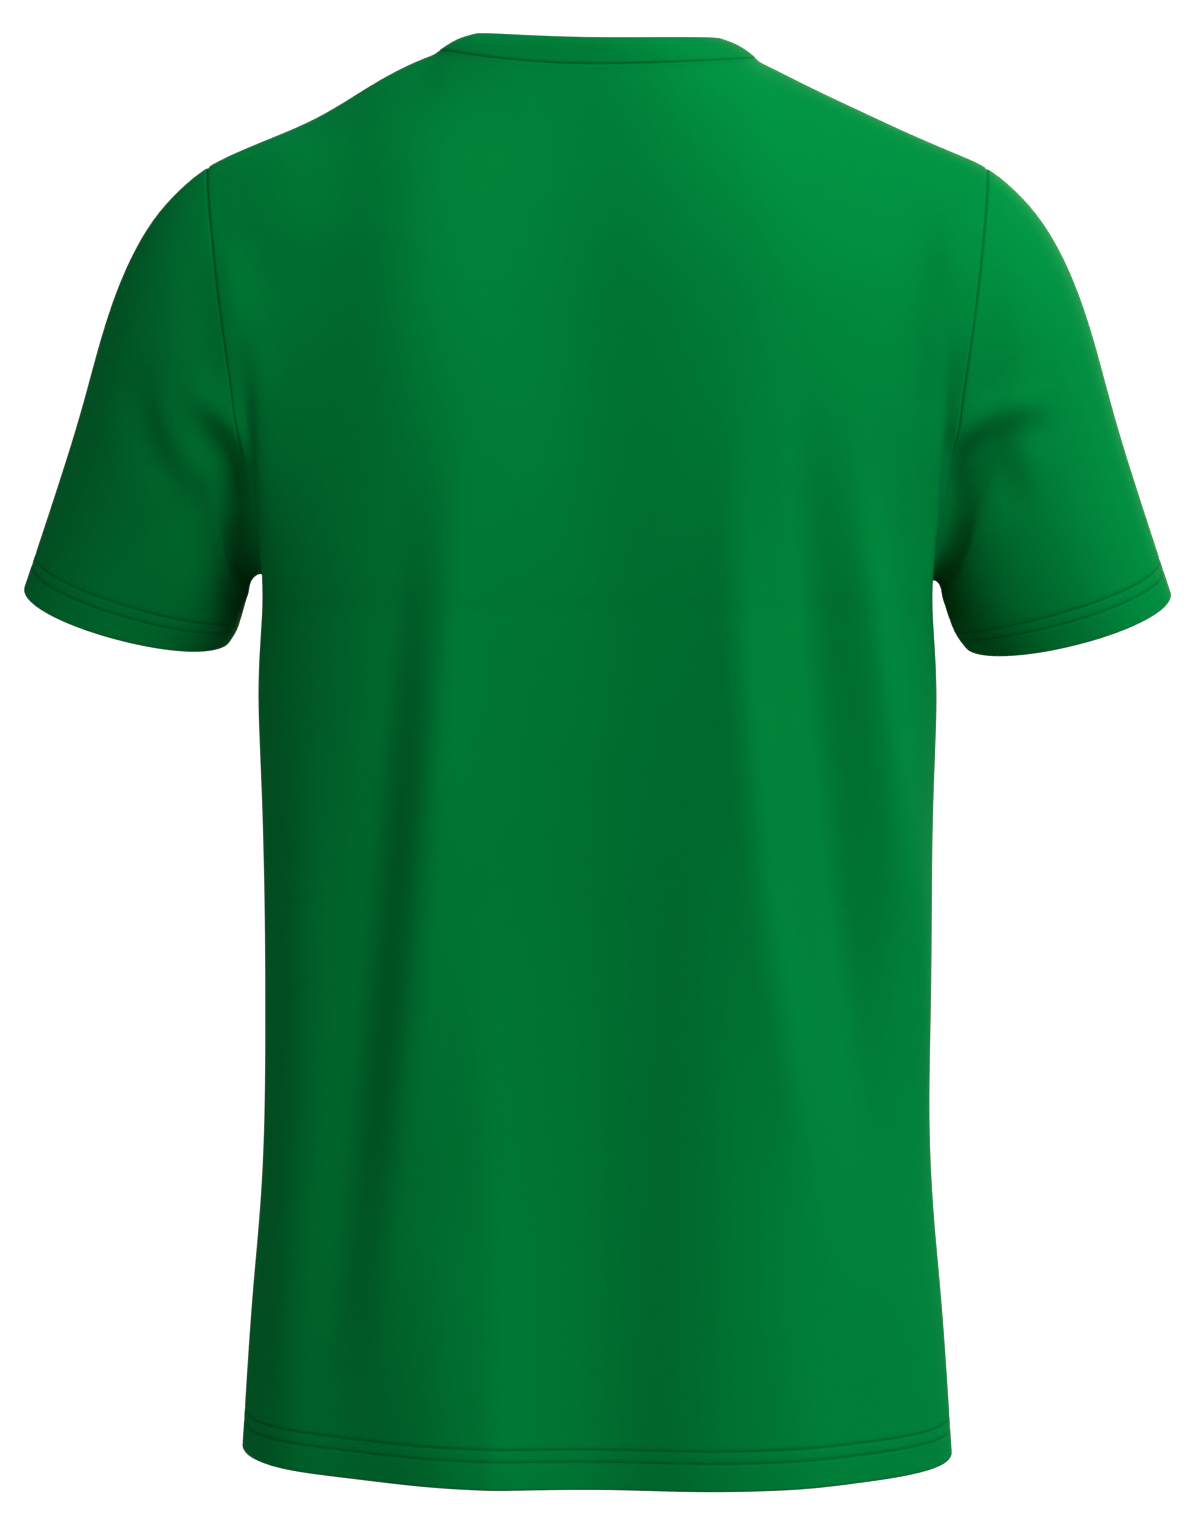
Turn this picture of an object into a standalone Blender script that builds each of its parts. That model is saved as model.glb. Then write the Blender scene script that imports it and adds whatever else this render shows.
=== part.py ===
"""A short-sleeved, round-necked sports t-shirt, filled out as if worn, with nobody in it.

The cloth is cut and sewn from five pieces: a back, a front, two set-in sleeves and a neckband.
Each piece is one closed wall of cloth, 0.3 mm from its neighbours along the seams.

Units are metres. +Z is up, -Y is the wearer's back and +Y the wearer's front. The origin is
midway between the two neck points, where the shoulder seams meet the neckband, which is where
the wearer's shoulders carry the shirt.

One surface covers the whole garment, so that neighbouring pieces share the points of their
seam. It is evened out beside the armholes, folded, and leaned a little to one side. Then it is
parted into the pieces, and each of them is thickened inwards.
"""

import math

import bmesh
import bpy
import numpy as np
from mathutils import Vector

# ---------------------------------------------------------------- cloth and seams
CLOTH = 0.0012  # wall of one layer of knitted cloth
TURNED_HEM = 0.0024  # wall where the hem is turned up inside, two layers
BAND_CLOTH = 0.0022  # wall of the folded neckband
HEM_DEPTH = 0.020  # how far the hems are turned up
HEM_STEP = 0.0008  # height over which a hem's raw edge steps down to one layer
SEAM_GAP = 0.0003  # between two pieces along a seam

# ---------------------------------------------------------------- main sizes of the garment
SHOULDER_HALF = 0.2005  # centre to the shoulder point, where the sleeve starts
SHOULDER_DROP = 0.0558  # neck point down to the shoulder point
SHOULDER_SAG = 0.0030  # how far the shoulder seam hangs below a straight line
NECK_HALF = 0.0835  # centre to a neck point
NECK_BACK = 0.0670  # neck seam behind the neck points
NECK_BACK_DROP = 0.0125  # and below them
NECK_FRONT = 0.0640  # neck seam in front of the neck points
NECK_FRONT_DROP = 0.0880  # and below them
NECK_ROUNDNESS = 1.30  # how roundly the neck passes over the neck points; 1 has a corner
BAND_TOP_HALF = 0.0665  # upper edge of the neckband, centre to side
BAND_TOP_BACK = 0.0560
BAND_TOP_FRONT = 0.0545
BAND_SIDE_RISE = 0.0095  # upper edge of the neckband above the neck points, at the sides
BAND_BACK_RISE = 0.0025  # and at the centre back
BAND_FRONT_DROP = 0.0725  # and how far it is below them at the centre front
BACK_RISE = 0.42  # how firmly the upper back keeps going straight up from the underarms
CHEST_RISE = 0.27  # and the chest
OVER_SHOULDER = (0.165, 0.010)  # how firmly it crosses a shoulder, level and upwards
UP_NECK = (0.115, 0.125)  # and the middle of the neck seam
UNDERARM_HALF = 0.1700  # centre to the underarm point
UNDERARM_HEIGHT = -0.2720
UNDERARM_REACH = 0.020  # how far the underarm point pulls on the side seam below it
UNDERARM_SPREAD = 0.20  # and on the cloth beside it, as a share of half a panel's width
UNDERARM_SAG = 0.020  # how far the cloth beside the underarm point hangs below it
SAG_REACH = 0.040  # over this height
SAG_SPREAD = 0.22  # and from this share of half a panel's width
SIDE_SEAM_DRAW = 6  # how closely the body comes forward at its side seams; more is closer
ARMHOLE_DRAW = 2  # how soon a panel turns towards its armholes; less is sooner
UNDERARM_DRAW = 4  # and how much later at the underarm
NECK_CORNER_DRAW = 4  # and up into the neck's corners
ARMHOLE_MIDDLE = 0.0040  # the armhole's middle, in front of the neck points
ARMHOLE_BACK = 0.0760  # the armhole behind its middle
ARMHOLE_FRONT = 0.0650  # and in front of it
HEM_HEIGHT = -0.7175  # the hem at the side seams
HEM_BACK_DIP = 0.0055  # the hem hangs this much lower at the centre back
HEM_FRONT_DIP = 0.0020
SIDE_LEAN = 0.012  # the hem hangs this much lower for each metre towards +X, the rest less

# One row for each level section of the body below the underarm. Squareness is the exponent of
# the section's rounded outline: 2 is an ellipse, and more is squarer.
BODY_COLUMNS = ("height", "half_width", "back", "front", "squareness")
BODY_SECTIONS = (
    (-0.205, 0.1755, 0.1220, 0.1265, 2.35),
    (-0.245, 0.1772, 0.1195, 0.1280, 2.35),
    (-0.300, 0.1768, 0.1140, 0.1280, 2.30),
    (-0.385, 0.1731, 0.1075, 0.1235, 2.30),
    (-0.480, 0.1712, 0.1040, 0.1180, 2.30),
    (-0.587, 0.1728, 0.1075, 0.1165, 2.25),
    (-0.640, 0.1776, 0.1110, 0.1185, 2.25),
    (-0.718, 0.1828, 0.1160, 0.1230, 2.25),
)

# One row for each ring of the sleeve, from the armhole to the cuff, as on the +X sleeve. A ring
# runs from its top point to its under point, and bulges to the back and front of the line
# between them. Lean is how far the ring drops for each metre towards the back.
SLEEVE_COLUMNS = (
    "share", "top_x", "top_z", "under_x", "under_z", "middle_y", "back", "front", "lean",
)
SLEEVE_SECTIONS = (
    (
        0.0, SHOULDER_HALF, -SHOULDER_DROP, UNDERARM_HALF, UNDERARM_HEIGHT,
        ARMHOLE_MIDDLE, ARMHOLE_BACK, ARMHOLE_FRONT, 0.00,
    ),
    (1 / 6, 0.2245, -0.0765, 0.1755, -0.2765, 0.0060, 0.0740, 0.0665, 0.02),
    (2 / 6, 0.2435, -0.1068, 0.1785, -0.2810, 0.0100, 0.0710, 0.0670, 0.06),
    (3 / 6, 0.2575, -0.1440, 0.1805, -0.2860, 0.0160, 0.0680, 0.0660, 0.10),
    (4 / 6, 0.2690, -0.1835, 0.1830, -0.2915, 0.0240, 0.0660, 0.0640, 0.15),
    (5 / 6, 0.2850, -0.2295, 0.1865, -0.2975, 0.0350, 0.0640, 0.0630, 0.20),
    (1.0, 0.3010, -0.2740, 0.1920, -0.3030, 0.0450, 0.0620, 0.0620, 0.24),
)
SLEEVE_SQUARENESS = 2.05
SLEEVE_LENGTH = 0.170  # armhole to cuff, halfway down the sleeve's side

# One row for each of the largest folds. A fold runs on a curve through three places (x, z) of
# the side that it faces. Width is the ridge's half width, and the height of a trough is
# negative. An open end keeps its height down to the edge of the cloth.
FOLD_COLUMNS = (
    "on", "facing", "start_x", "start_z", "middle_x", "middle_z", "end_x", "end_z",
    "start_width", "end_width", "height", "open_end",
)
FOLDS = (
    ("body", "back", -0.072, -0.180, -0.077, -0.440, -0.060, -0.722, 0.018, 0.044, 0.0120, 1),
    ("body", "back", 0.070, -0.170, 0.069, -0.440, 0.060, -0.722, 0.018, 0.046, 0.0125, 1),
    ("body", "back", 0.125, -0.200, 0.148, -0.380, 0.168, -0.560, 0.012, 0.017, 0.0045, 0),
    ("body", "back", -0.142, -0.330, -0.148, -0.500, -0.152, -0.722, 0.012, 0.022, 0.0050, 1),
    ("body", "back", -0.002, -0.050, -0.002, -0.340, 0.006, -0.740, 0.048, 0.050, -0.0120, 1),
    ("body", "back", -0.100, 0.050, -0.098, -0.110, -0.086, -0.270, 0.032, 0.032, 0.0060, 0),
    ("body", "back", 0.084, -0.040, 0.088, -0.160, 0.082, -0.280, 0.032, 0.032, 0.0045, 0),
    ("body", "front", -0.056, -0.250, -0.064, -0.470, -0.085, -0.722, 0.018, 0.042, 0.0095, 1),
    ("body", "front", 0.062, -0.230, 0.058, -0.470, 0.042, -0.722, 0.018, 0.040, 0.0105, 1),
    ("body", "front", 0.130, -0.330, 0.133, -0.520, 0.140, -0.722, 0.013, 0.026, 0.0065, 1),
    ("body", "front", -0.138, -0.300, -0.132, -0.420, -0.128, -0.560, 0.012, 0.018, 0.0045, 0),
    ("sleeve", "back", -0.237, -0.160, -0.223, -0.200, -0.199, -0.245, 0.012, 0.012, -0.0040, 0),
    ("sleeve", "back", 0.240, -0.190, 0.210, -0.196, 0.177, -0.212, 0.012, 0.012, -0.0045, 1),
    ("sleeve", "front", -0.233, -0.150, -0.215, -0.190, -0.196, -0.235, 0.013, 0.013, -0.0045, 0),
    ("sleeve", "front", 0.240, -0.175, 0.221, -0.205, 0.196, -0.232, 0.013, 0.013, -0.0040, 0),
)
FOLD_GROWTH = 0.40  # share of a fold's length over which it rises out of the cloth
OPEN_FOLD_START = 0.60  # a fold with an open end grows from this share of its height
FOLD_TURN = 1.2  # how fast a fold ends where the cloth turns away from the side it faces
FOLD_SAMPLES = 24  # places along a fold's curve

# ---------------------------------------------------------------- how finely it is meshed
SHOULDER_COLUMNS = 8  # along each shoulder seam
NECK_COLUMNS = 12  # along half of the neckline
PANEL_COLUMNS = 2 * SHOULDER_COLUMNS + NECK_COLUMNS
ARMHOLE_ROWS = 12  # from the underarm up to the shoulder seam
BODY_ROWS = 16  # from the top of the hem up to the underarm
SLEEVE_RINGS = 9  # from the armhole down to the top of the cuff's hem
BAND_ROWS = 2
ARMHOLE_EVENING = 4  # rounds of evening out beside the armholes' lower halves
EDGE_ROUNDING = 12  # rounds of rounding the neck's corners, for the cloth below them
OUTLINE_SAMPLES = 121  # places along a quarter of a level section
SLOPE_STEP = 0.010  # height over which the cloth's slope at the underarm is measured
SHARPEST_MITRE = 0.4  # keeps a seam's gap from growing at a sharp corner
WELD = 0.0001  # points nearer than this are one

# ---------------------------------------------------------------- the pieces
BACK, FRONT, NECKBAND = "back_panel", "front_panel", "neckband"
SLEEVES = {"sleeve_left": -1, "sleeve_right": 1}
PIECES = (BACK, FRONT, *SLEEVES, NECKBAND)
GREEN = (0.004, 0.190, 0.040, 1.0)
ROUGHNESS = 0.85
SHARP_ANGLE = math.radians(50)


# ---------------------------------------------------------------- curves and tables


def hermite(start, start_pull, end, end_pull, t):
    """The point at t, from 0 to 1, on the cubic that leaves start and reaches end as pulled."""
    return (
        (2 * t**3 - 3 * t**2 + 1) * start
        + (t**3 - 2 * t**2 + t) * start_pull
        + (3 * t**2 - 2 * t**3) * end
        + (t**3 - t**2) * end_pull
    )


def smooth_step(t):
    t = np.clip(t, 0.0, 1.0)
    return t * t * (3 - 2 * t)


def read_table(table, columns, name, at):
    """A column of a table, read on one smooth curve along the table's first column."""
    place = np.array([row[0] for row in table])
    value = np.array([row[columns.index(name)] for row in table])
    if place[0] > place[-1]:
        place, value = place[::-1], value[::-1]
    slope = np.gradient(value, place)
    i = np.clip(np.searchsorted(place, at) - 1, 0, len(place) - 2)
    step = place[i + 1] - place[i]
    t = (at - place[i]) / step
    return hermite(value[i], slope[i] * step, value[i + 1], slope[i + 1] * step, t)


def squared(value, squareness):
    """A cosine or sine, pushed outwards so that its circle is squared off."""
    return math.copysign(abs(value) ** (2 / squareness), value)


# ---------------------------------------------------------------- the back and front


def body_point(piece, height, side):
    """A point of the back or front below the underarm. Side is -1 to 1 between the side seams,
    by length along the level section."""
    half_width = read_table(BODY_SECTIONS, BODY_COLUMNS, "half_width", height)
    depth_name = "back" if piece == BACK else "front"
    depth = read_table(BODY_SECTIONS, BODY_COLUMNS, depth_name, height)
    squareness = read_table(BODY_SECTIONS, BODY_COLUMNS, "squareness", height)
    turns = np.linspace(0, math.pi / 2, OUTLINE_SAMPLES)
    x = half_width * np.sin(turns) ** (2 / squareness)
    y = depth * np.clip(np.cos(turns), 0, 1) ** (2 / squareness)
    y[-1] = 0.0
    run = np.concatenate([[0], np.cumsum(np.hypot(np.diff(x), np.diff(y)))])
    out = np.interp(abs(side) * run[-1], run, x)
    away = np.interp(abs(side) * run[-1], run, y)
    # The underarm seam pulls the side seam in.
    pull = math.exp(-(((height - UNDERARM_HEIGHT) / UNDERARM_REACH) ** 2))
    widest = read_table(BODY_SECTIONS, BODY_COLUMNS, "half_width", UNDERARM_HEIGHT)
    out -= (widest - UNDERARM_HALF) * pull * smooth_step(1 - (1 - abs(side)) / UNDERARM_SPREAD)
    facing = -1 if piece == BACK else 1
    forward = facing * away + ARMHOLE_MIDDLE * abs(side) ** SIDE_SEAM_DRAW
    return np.array([math.copysign(out, side), forward, height])


def body_row(piece, height):
    """A row of the back or front that meets the side seams at a height. It sags beside the
    underarm, and dips towards the middle at the hem."""
    dip = HEM_BACK_DIP if piece == BACK else HEM_FRONT_DIP
    low = smooth_step((UNDERARM_HEIGHT - height) / (UNDERARM_HEIGHT - HEM_HEIGHT))
    near = math.exp(-(((height - UNDERARM_HEIGHT) / SAG_REACH) ** 2))
    row = []
    for side in np.linspace(-1, 1, PANEL_COLUMNS + 1):
        sag = UNDERARM_SAG * near * smooth_step((1 - abs(side)) / SAG_SPREAD)
        row.append(body_point(piece, height - sag - dip * low * (1 - side**2), side))
    return np.array(row)


def neck_point(piece, share):
    """The neck seam at share, from -1 at the -X neck point to 1 at the +X one."""
    reach = -NECK_BACK if piece == BACK else NECK_FRONT
    drop = NECK_BACK_DROP if piece == BACK else NECK_FRONT_DROP
    across = math.sin(share * math.pi / 2)
    away = math.cos(share * math.pi / 2)
    return np.array([NECK_HALF * across, reach * away, -drop * away**NECK_ROUNDNESS])


def shoulder_point(share):
    """The +X shoulder seam at share, from 0 at the neck point to 1 at the shoulder point."""
    sag = SHOULDER_SAG * math.sin(math.pi * share)
    return np.array([
        NECK_HALF + share * (SHOULDER_HALF - NECK_HALF),
        ARMHOLE_MIDDLE * share,
        -SHOULDER_DROP * share - sag,
    ])


def top_point(piece, column):
    """Where a column of the back or front ends: on a shoulder seam or on the neck seam."""
    out = column - PANEL_COLUMNS // 2
    half_neck = NECK_COLUMNS // 2
    if abs(out) <= half_neck:
        return neck_point(piece, out / half_neck)
    point = shoulder_point((abs(out) - half_neck) / SHOULDER_COLUMNS)
    return point * np.array([math.copysign(1, out), 1, 1])


def top_pull(piece, column):
    """How the cloth reaches its top edge: level over a shoulder, and rising at the neck."""
    out = min(1.0, abs(column - PANEL_COLUMNS / 2) / (NECK_COLUMNS / 2))
    at_neck = math.cos(out * math.pi / 2) ** NECK_ROUNDNESS
    level, up = np.array(OVER_SHOULDER) * (1 - at_neck) + np.array(UP_NECK) * at_neck
    return np.array([0.0, level if piece == BACK else -level, up])


def armhole_point(piece, share):
    """The +X armhole seam at share, from 0 at the underarm to 1 at the shoulder point."""
    turn = math.pi * (1 - share)
    return sleeve_point(0.0, turn if piece == BACK else -turn)


def upper_rows(piece):
    """The rows of the back or front above the underarm, up to the shoulders and neck."""
    base = body_row(piece, UNDERARM_HEIGHT)
    upward = base - body_row(piece, UNDERARM_HEIGHT - SLOPE_STEP)
    rise = BACK_RISE if piece == BACK else CHEST_RISE
    start_pull = rise * upward / upward[:, 2:]
    edge = np.array([top_point(piece, c) for c in range(PANEL_COLUMNS + 1)])
    end_pull = np.array([top_pull(piece, c) for c in range(PANEL_COLUMNS + 1)])
    # The cloth follows a rounded edge, and turns into the neck's corners only near them.
    rounded_edge = edge.copy()
    for _ in range(EDGE_ROUNDING):
        beside = (rounded_edge[:-2] + rounded_edge[2:]) / 2
        rounded_edge[1:-1] = (rounded_edge[1:-1] + beside) / 2
    sides = np.linspace(-1, 1, PANEL_COLUMNS + 1)
    rows = []
    for share in np.arange(1, ARMHOLE_ROWS + 1) / ARMHOLE_ROWS:
        row = hermite(base, start_pull, rounded_edge, end_pull, share)
        row += share**NECK_CORNER_DRAW * (edge - rounded_edge)
        # Near each armhole the row is drawn on to the seam.
        draw = ARMHOLE_DRAW + UNDERARM_DRAW * (1 - share) ** 3
        for sign, last in ((-1, 0), (1, PANEL_COLUMNS)):
            seam = armhole_point(piece, share) * np.array([sign, 1, 1])
            near = np.clip(sides * sign, 0, 1) ** draw
            row = row + near[:, None] * (seam - row[last])
        rows.append(row)
    return rows


def panel_grid(piece):
    """Rows of the back or front from the hem up, and the wall's thickness at each row."""
    hem_top = HEM_HEIGHT + HEM_DEPTH
    above_hem = np.linspace(hem_top + HEM_STEP, UNDERARM_HEIGHT, BODY_ROWS + 1)
    rows = [body_row(piece, height) for height in (HEM_HEIGHT, hem_top, *above_hem)]
    rows += upper_rows(piece)
    return np.array(rows), [TURNED_HEM] * 2 + [CLOTH] * (len(rows) - 2)


# ---------------------------------------------------------------- the sleeves and the neckband


def sleeve_point(share, turn):
    """A point of the +X sleeve. Share is 0 at the armhole and 1 at the cuff. Turn is 0 at the
    top and grows round the back to pi under the arm."""
    size = {
        name: read_table(SLEEVE_SECTIONS, SLEEVE_COLUMNS, name, share)
        for name in SLEEVE_COLUMNS[1:]
    }
    up = squared(math.cos(turn), SLEEVE_SQUARENESS)
    back = squared(math.sin(turn), SLEEVE_SQUARENESS) if abs(math.sin(turn)) > 1e-9 else 0.0
    depth = size["back"] if back > 0 else size["front"]
    return np.array([
        (size["top_x"] + size["under_x"]) / 2 + up * (size["top_x"] - size["under_x"]) / 2,
        size["middle_y"] - depth * back,
        (size["top_z"] + size["under_z"]) / 2
        + up * (size["top_z"] - size["under_z"]) / 2
        - size["lean"] * depth * back,
    ])


def sleeve_grid(side):
    """Closed rings of one sleeve from the armhole to the cuff, and the wall at each ring."""
    hem_top = 1 - HEM_DEPTH / SLEEVE_LENGTH
    above_hem = np.linspace(0, hem_top - HEM_STEP / SLEEVE_LENGTH, SLEEVE_RINGS + 1)
    turns = math.pi * np.arange(2 * ARMHOLE_ROWS) / ARMHOLE_ROWS
    rings = [[sleeve_point(s, turn) for turn in turns] for s in (*above_hem, hem_top, 1.0)]
    walls = [CLOTH] * len(above_hem) + [TURNED_HEM] * 2
    return np.array(rings) * np.array([side, 1, 1]), walls


def band_edge(piece, share):
    """The neckband's upper edge at share, from -1 at the -X side to 1 at the +X side."""
    reach = -BAND_TOP_BACK if piece == BACK else BAND_TOP_FRONT
    middle_rise = BAND_BACK_RISE if piece == BACK else -BAND_FRONT_DROP
    across = math.sin(share * math.pi / 2)
    away = math.cos(share * math.pi / 2)
    rise = BAND_SIDE_RISE + (middle_rise - BAND_SIDE_RISE) * away**NECK_ROUNDNESS
    return np.array([BAND_TOP_HALF * across, reach * away, rise])


def band_grid():
    """Closed rings of the neckband from the neck seam up, and the wall at each ring."""
    shares = 2 * np.arange(NECK_COLUMNS) / NECK_COLUMNS - 1
    round_neck = [(BACK, share) for share in shares] + [(FRONT, -share) for share in shares]
    seam = np.array([neck_point(*place) for place in round_neck])
    edge = np.array([band_edge(*place) for place in round_neck])
    rings = [seam + (edge - seam) * k / BAND_ROWS for k in range(BAND_ROWS + 1)]
    return np.array(rings), [CLOTH] + [BAND_CLOTH] * BAND_ROWS


# ---------------------------------------------------------------- one surface for the garment


def add_grid(surface, piece, grid, closed, turned):
    """Adds a piece's grid of four-sided faces. Each face is marked with its piece, and each of
    its corners with the wall's thickness there."""
    mark = surface.faces.layers.int["piece"]
    wall = surface.loops.layers.float["wall"]
    rows, walls = grid
    verts = [[surface.verts.new(point) for point in row] for row in rows]
    thickness = {vert: walls[r] for r, row in enumerate(verts) for vert in row}
    columns = len(rows[0])
    for lower, upper in zip(verts, verts[1:]):
        for c in range(columns if closed else columns - 1):
            n = (c + 1) % columns
            corners = [lower[c], lower[n], upper[n], upper[c]]
            face = surface.faces.new(corners[::-1] if turned else corners)
            face[mark] = PIECES.index(piece)
            for loop in face.loops:
                loop[wall] = thickness[loop.vert]


def sew_surface():
    """The whole garment as one surface, with its pieces welded along the seams."""
    surface = bmesh.new()
    surface.faces.layers.int.new("piece")
    surface.loops.layers.float.new("wall")
    add_grid(surface, BACK, panel_grid(BACK), closed=False, turned=False)
    add_grid(surface, FRONT, panel_grid(FRONT), closed=False, turned=True)
    for name, side in SLEEVES.items():
        add_grid(surface, name, sleeve_grid(side), closed=True, turned=side < 0)
    add_grid(surface, NECKBAND, band_grid(), closed=True, turned=False)
    bmesh.ops.remove_doubles(surface, verts=surface.verts, dist=WELD)
    return surface


def faces_at(surface, vert):
    """The names of the pieces of the faces round a point, one for each face."""
    mark = surface.faces.layers.int["piece"]
    return [PIECES[face[mark]] for face in vert.link_faces]


def even_out_armholes(surface):
    """Evens out the cloth within two rows of the armhole seams, which stay where they are."""
    seam = {
        vert for vert in surface.verts
        if set(faces_at(surface, vert)) & {BACK, FRONT}
        and set(faces_at(surface, vert)) & set(SLEEVES)
    }
    middle = -(SHOULDER_DROP - UNDERARM_HEIGHT) / 2
    near = {vert for vert in seam if vert.co.z < middle}
    for _ in range(2):
        near |= {edge.other_vert(vert) for vert in near for edge in vert.link_edges}
    beside = [vert for vert in surface.verts if vert in near and vert not in seam]
    for _ in range(ARMHOLE_EVENING):
        bmesh.ops.smooth_vert(
            surface, verts=beside, factor=0.5, use_axis_x=True, use_axis_y=True, use_axis_z=True,
        )


# ---------------------------------------------------------------- folds


def fold_path(fold):
    """Places (x, z) on the curve through a fold's three places."""
    start = np.array([fold["start_x"], fold["start_z"]])
    middle = np.array([fold["middle_x"], fold["middle_z"]])
    end = np.array([fold["end_x"], fold["end_z"]])
    handle = 2 * middle - (start + end) / 2
    t = np.linspace(0, 1, FOLD_SAMPLES)[:, None]
    return (1 - t) ** 2 * start + 2 * t * (1 - t) * handle + t**2 * end


def fold_lift(fold, places):
    """How far a fold lifts the cloth at each place (x, z)."""
    away = np.linalg.norm(places[:, None] - fold_path(fold)[None], axis=2)
    t = np.argmin(away, axis=1) / (FOLD_SAMPLES - 1)
    width = fold["start_width"] + t * (fold["end_width"] - fold["start_width"])
    open_end = OPEN_FOLD_START + (1 - OPEN_FOLD_START) * t
    fading = open_end if fold["open_end"] else smooth_step((1 - t) / FOLD_GROWTH)
    along = smooth_step(t / FOLD_GROWTH) * fading
    return fold["height"] * along * np.exp(-((away.min(axis=1) / width) ** 2))


def fold_surface(surface):
    """Lifts and sinks the folds, each on the side it faces, of the body or of the sleeves."""
    surface.normal_update()
    places = np.array([[vert.co.x, vert.co.z] for vert in surface.verts])
    forward = np.array([vert.normal.y for vert in surface.verts])
    on_sleeve = np.array([
        np.mean([name in SLEEVES for name in faces_at(surface, vert)]) for vert in surface.verts
    ])
    lift = np.zeros(len(places))
    for row in FOLDS:
        fold = dict(zip(FOLD_COLUMNS, row))
        toward = -1 if fold["facing"] == "back" else 1
        facing_it = smooth_step(0.5 + FOLD_TURN * toward * forward)
        on_it = on_sleeve if fold["on"] == "sleeve" else 1 - on_sleeve
        lift += fold_lift(fold, places) * facing_it * on_it
    for vert, height in zip(surface.verts, lift):
        vert.co += vert.normal * height


def lean_surface(surface):
    """Lets the shirt hang a little lower on the +X side."""
    for vert in surface.verts:
        vert.co.z -= SIDE_LEAN * vert.co.x * vert.co.z / HEM_HEIGHT


# ---------------------------------------------------------------- walls of cloth


def seam_inset(rim):
    """The step that takes a rim point half a seam gap into its own piece. Rim holds the two
    inward directions of the piece's edges there, and is empty inside the piece."""
    if not rim:
        return Vector()
    first, last = rim[0], rim[-1]
    return (first + last) * (SEAM_GAP / 2) / max(SHARPEST_MITRE, 1 + first.dot(last))


def wall_of(surface, piece):
    """One piece as a closed wall. Neighbours lay their walls in the same direction at a seam,
    so that they meet there with an even gap."""
    mark = surface.faces.layers.int["piece"]
    wall = surface.loops.layers.float["wall"]
    faces = [face for face in surface.faces if PIECES[face[mark]] == piece]
    rims = [
        loop for face in faces for loop in face.loops
        if sum(PIECES[other[mark]] == piece for other in loop.edge.link_faces) == 1
    ]
    inward = {}
    for loop in rims:
        start, end = loop.vert, loop.link_loop_next.vert
        for vert in (start, end):
            across = vert.normal.cross(end.co - start.co).normalized()
            inward.setdefault(vert, []).append(across)
    solid = bmesh.new()
    outside, inside = {}, {}
    for face in faces:
        for loop in face.loops:
            vert = loop.vert
            if vert not in outside:
                place = vert.co + seam_inset(inward.get(vert))
                outside[vert] = solid.verts.new(place)
                inside[vert] = solid.verts.new(place - vert.normal * loop[wall])
    for face in faces:
        solid.faces.new([outside[vert] for vert in face.verts])
        solid.faces.new([inside[vert] for vert in reversed(face.verts)])
    for loop in rims:
        start, end = loop.vert, loop.link_loop_next.vert
        rim = [outside[end], outside[start], inside[start], inside[end]]
        # Neighbours split their facing rims along the same diagonal.
        if start.index < end.index:
            rim = rim[1:] + rim[:1]
        solid.faces.new(rim[:3])
        solid.faces.new([rim[0], *rim[2:]])
    return solid


def cloth_material(piece):
    material = bpy.data.materials.new(piece)
    material.use_nodes = True
    shader = material.node_tree.nodes["Principled BSDF"]
    shader.inputs["Base Color"].default_value = GREEN
    shader.inputs["Roughness"].default_value = ROUGHNESS
    shader.inputs["Metallic"].default_value = 0.0
    return material


def add_piece(collection, surface, piece):
    mesh = bpy.data.meshes.new(piece)
    solid = wall_of(surface, piece)
    solid.to_mesh(mesh)
    solid.free()
    mesh.materials.append(cloth_material(piece))
    mesh.shade_smooth()
    mesh.set_sharp_from_angle(angle=SHARP_ANGLE)
    collection.objects.link(bpy.data.objects.new(piece, mesh))


def main():
    for old in list(bpy.data.objects):
        bpy.data.objects.remove(old, do_unlink=True)
    collection = bpy.data.collections.new("sports_t_shirt")
    bpy.context.scene.collection.children.link(collection)
    surface = sew_surface()
    even_out_armholes(surface)
    fold_surface(surface)
    lean_surface(surface)
    bmesh.ops.triangulate(surface, faces=surface.faces)
    surface.normal_update()
    surface.verts.index_update()
    for piece in PIECES:
        add_piece(collection, surface, piece)
    surface.free()


if __name__ == "__main__":
    main()
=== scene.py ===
import math

import bmesh
import bpy
import numpy as np
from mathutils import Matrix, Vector


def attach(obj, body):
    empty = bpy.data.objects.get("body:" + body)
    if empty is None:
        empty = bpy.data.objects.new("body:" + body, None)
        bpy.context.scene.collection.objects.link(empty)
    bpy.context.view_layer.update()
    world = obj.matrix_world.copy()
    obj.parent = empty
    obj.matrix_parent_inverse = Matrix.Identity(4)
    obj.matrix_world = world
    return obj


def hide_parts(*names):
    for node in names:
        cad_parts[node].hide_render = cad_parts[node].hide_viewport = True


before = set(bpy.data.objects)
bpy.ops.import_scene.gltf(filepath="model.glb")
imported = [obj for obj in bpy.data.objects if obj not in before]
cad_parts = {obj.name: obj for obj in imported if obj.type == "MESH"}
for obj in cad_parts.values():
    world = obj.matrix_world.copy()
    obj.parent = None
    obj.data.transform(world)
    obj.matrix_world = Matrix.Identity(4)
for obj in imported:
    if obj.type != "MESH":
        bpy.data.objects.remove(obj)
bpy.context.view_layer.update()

# A plain green short-sleeved sports t-shirt, filled out as if worn.
# Metres. +Z up, -Y the wearer's back, origin midway between the neck points.

print("frame loaded:", ", ".join(sorted(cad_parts)))


# curves and tables


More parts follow.
